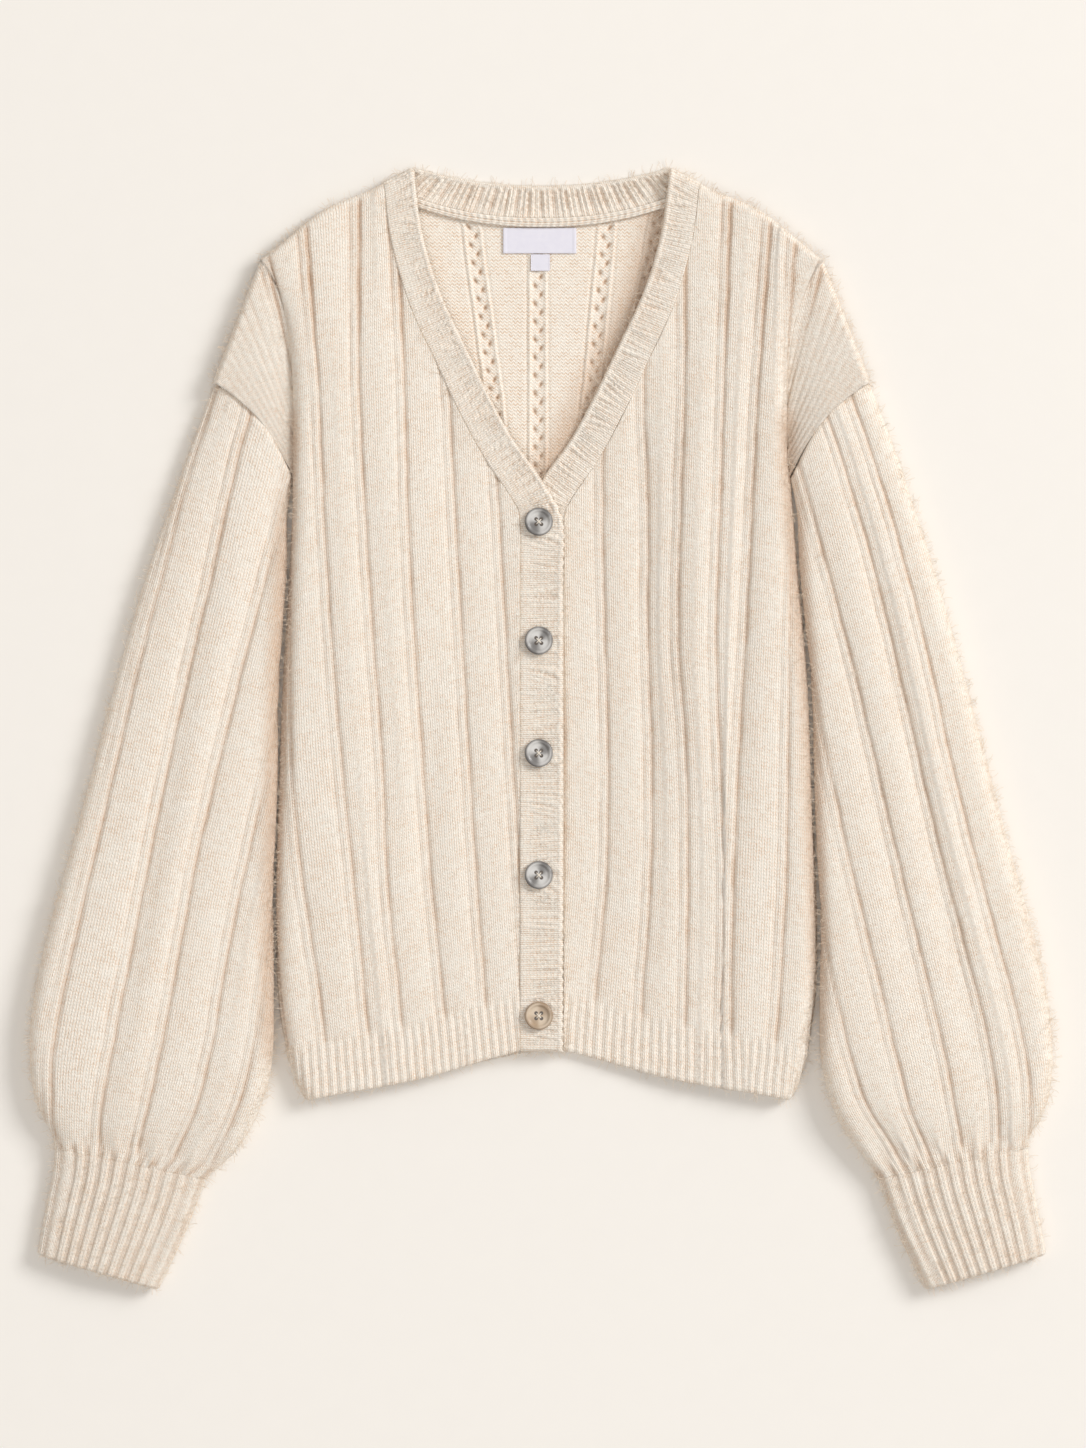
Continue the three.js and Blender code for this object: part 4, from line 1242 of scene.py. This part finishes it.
grey_mesh, brown_mesh = drilled_button("grey", DISHED), drilled_button("brown", RIMMED)
GREY_FACE, BROWN_FACE = 2.0, 1.5  # height of the face that the yarn crosses
for k, along in enumerate(BUTTON_ALONG):
    lowest = k == len(BUTTON_ALONG) - 1
    shape, face_height = (brown_mesh, BROWN_FACE) if lowest else (grey_mesh, GREY_FACE)
    made = bmesh.new()
    made.from_mesh(shape)
    bmesh.ops.remove_doubles(made, verts=made.verts, dist=0.003 * MM)
    bmesh.ops.triangulate(made, faces=made.faces)
    disc_map = made.loops.layers.uv.new("disc")
    for face in made.faces:
        for loop in face.loops:
            loop[disc_map].uv = loop.vert.co.xy / (BUTTON_RADIUS * MM)
    for sign in (-1, 1):
        strand, faces = thread_strand((-HOLE_OFFSET, -sign * HOLE_OFFSET),
                                      (HOLE_OFFSET, sign * HOLE_OFFSET), face_height)
        corners = [made.verts.new(corner * MM) for corner in strand]
        for face in faces:
            made.faces.new([corners[i] for i in face]).material_index = 1
    for corner in made.verts:
        corner.co += Vector((BUTTON_X, along, BUTTON_SEAT)) * MM
    bmesh.ops.recalc_face_normals(made, faces=made.faces)
    mesh = bpy.data.meshes.new(f"shell_button_{k + 1}")
    made.to_mesh(mesh)
    made.free()
    mesh.materials.append(BROWN_SHELL if lowest else GREY_SHELL)
    mesh.materials.append(THREAD.material)
    mesh.shade_smooth()
    mesh.set_sharp_from_angle(angle=math.radians(50))
    button = bpy.data.objects.new(mesh.name, mesh)
    scene.collection.objects.link(button)
    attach(button, "root")
    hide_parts(f"button_{k + 1}")

# ---- Mohair fibres -------------------------------------------------------------------
# Loose hairs of the brushed yarn, 3 to 6 long. They stand out from the outline of the
# cloth and across the dark gaps beside the sleeves.


hairs = bpy.data.node_groups.new("loose_hairs", "GeometryNodeTree")
hairs.interface.new_socket("Cloth", in_out="INPUT", socket_type="NodeSocketGeometry")
inputs = {}
for name, kind in (("Density", "Float"), ("Length", "Float"), ("Radius", "Float"),
                   ("Seed", "Int"), ("Finish", "Material")):
    made = hairs.interface.new_socket(name, in_out="INPUT", socket_type=f"NodeSocket{kind}")
    inputs[name] = made.identifier
hairs.interface.new_socket("Hairs", in_out="OUTPUT", socket_type="NodeSocketGeometry")
given = hairs.nodes.new("NodeGroupInput").outputs
# They grow where the cloth slopes away at its edges and ribs, not on its flat top.
facing = add_node(hairs, "ShaderNodeSeparateXYZ", None, {
    0: hairs.nodes.new("GeometryNodeInputNormal").outputs[0]})
sloping = add_node(hairs, "FunctionNodeCompare", {"operation": "LESS_THAN"}, {
    0: facing.outputs["Z"], 1: 0.8})
upward = add_node(hairs, "FunctionNodeCompare", {"operation": "GREATER_THAN"}, {
    0: facing.outputs["Z"], 1: 0.0})
edges = add_node(hairs, "FunctionNodeBooleanMath", {"operation": "AND"}, {
    0: sloping.outputs[0], 1: upward.outputs[0]})
spread = add_node(hairs, "GeometryNodeDistributePointsOnFaces", None, {
    "Mesh": given["Cloth"], "Selection": edges.outputs[0],
    "Density": given["Density"], "Seed": given["Seed"]})
bend = add_node(hairs, "GeometryNodeCurveQuadraticBezier", None, {
    "Resolution": 3, "Start": (0, 0, -0.05), "Middle": (0.05, 0, 0.6),
    "End": (0.6, 0.1, 0.85)})
section = add_node(hairs, "GeometryNodeCurvePrimitiveCircle", None, {
    "Resolution": 3, "Radius": given["Radius"]})
each_way = add_node(hairs, "ShaderNodeCombineXYZ", None, {
    0: given["Length"], 1: given["Length"], 2: given["Length"]})
sized = add_node(hairs, "GeometryNodeTransform", None, {
    "Geometry": bend.outputs[0], "Scale": each_way.outputs[0]})
strand = add_node(hairs, "GeometryNodeCurveToMesh", None, {
    "Curve": sized.outputs[0], "Profile Curve": section.outputs[0], "Fill Caps": True})
lean = add_node(hairs, "FunctionNodeRandomValue", {"data_type": "FLOAT_VECTOR"}, {
    0: (-0.9, -0.9, -3.14), 1: (0.9, 0.9, 3.14), "Seed": given["Seed"]})
turned = add_node(hairs, "FunctionNodeRotateRotation", {"rotation_space": "LOCAL"}, {
    0: spread.outputs["Rotation"], 1: lean.outputs[0]})
scale = add_node(hairs, "FunctionNodeRandomValue", {"data_type": "FLOAT"}, {
    2: 0.45, 3: 1.0, "Seed": given["Seed"]})
placed = add_node(hairs, "GeometryNodeInstanceOnPoints", None, {
    "Points": spread.outputs["Points"], "Instance": strand.outputs[0],
    "Rotation": turned.outputs[0], "Scale": scale.outputs[1]})
real = add_node(hairs, "GeometryNodeRealizeInstances", None, {0: placed.outputs[0]})
painted = add_node(hairs, "GeometryNodeSetMaterial", None, {
    "Geometry": real.outputs[0], "Material": given["Finish"]})
result = hairs.nodes.new("NodeGroupOutput")
hairs.links.new(painted.outputs[0], result.inputs[0])

HAIRS_PER_M2 = 200000.0
HAIR = Finish("mohair", {"Roughness": 0.7, "Sheen Weight": 0.3})
# The hairs are coloured darker than the yarn as painted shade, with random tone between the two
# colours.
HAIR.finish(HAIR.mix(
    HAIR.noise(HAIR.place(), 300.0), srgb(226, 204, 178), srgb(246, 232, 214)))
for seed, piece in enumerate((*fronts.values(), *sleeves, *cuffs, neckband, *bands.values())):
    grown = piece.copy()
    grown.data = piece.data.copy()
    grown.animation_data_clear()
    scene.collection.objects.link(grown)
    growth = grown.modifiers.new("hairs", "NODES")
    growth.node_group = hairs
    for name, value in (("Density", HAIRS_PER_M2), ("Length", 6.5 * MM),
                        ("Radius", 0.13 * MM), ("Seed", 5 + seed), ("Finish", HAIR.material)):
        growth[inputs[name]] = value
    grown.update_tag()
    mesh = bpy.data.meshes.new_from_object(
        grown.evaluated_get(bpy.context.evaluated_depsgraph_get()))
    bpy.data.objects.remove(grown)
    mesh.materials.clear()
    mesh.materials.append(HAIR.material)
    mesh.name = piece.name.replace("knit_", "").replace("rib_", "") + "_hairs"
    tuft = bpy.data.objects.new(mesh.name, mesh)
    scene.collection.objects.link(tuft)
    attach(tuft, "root")
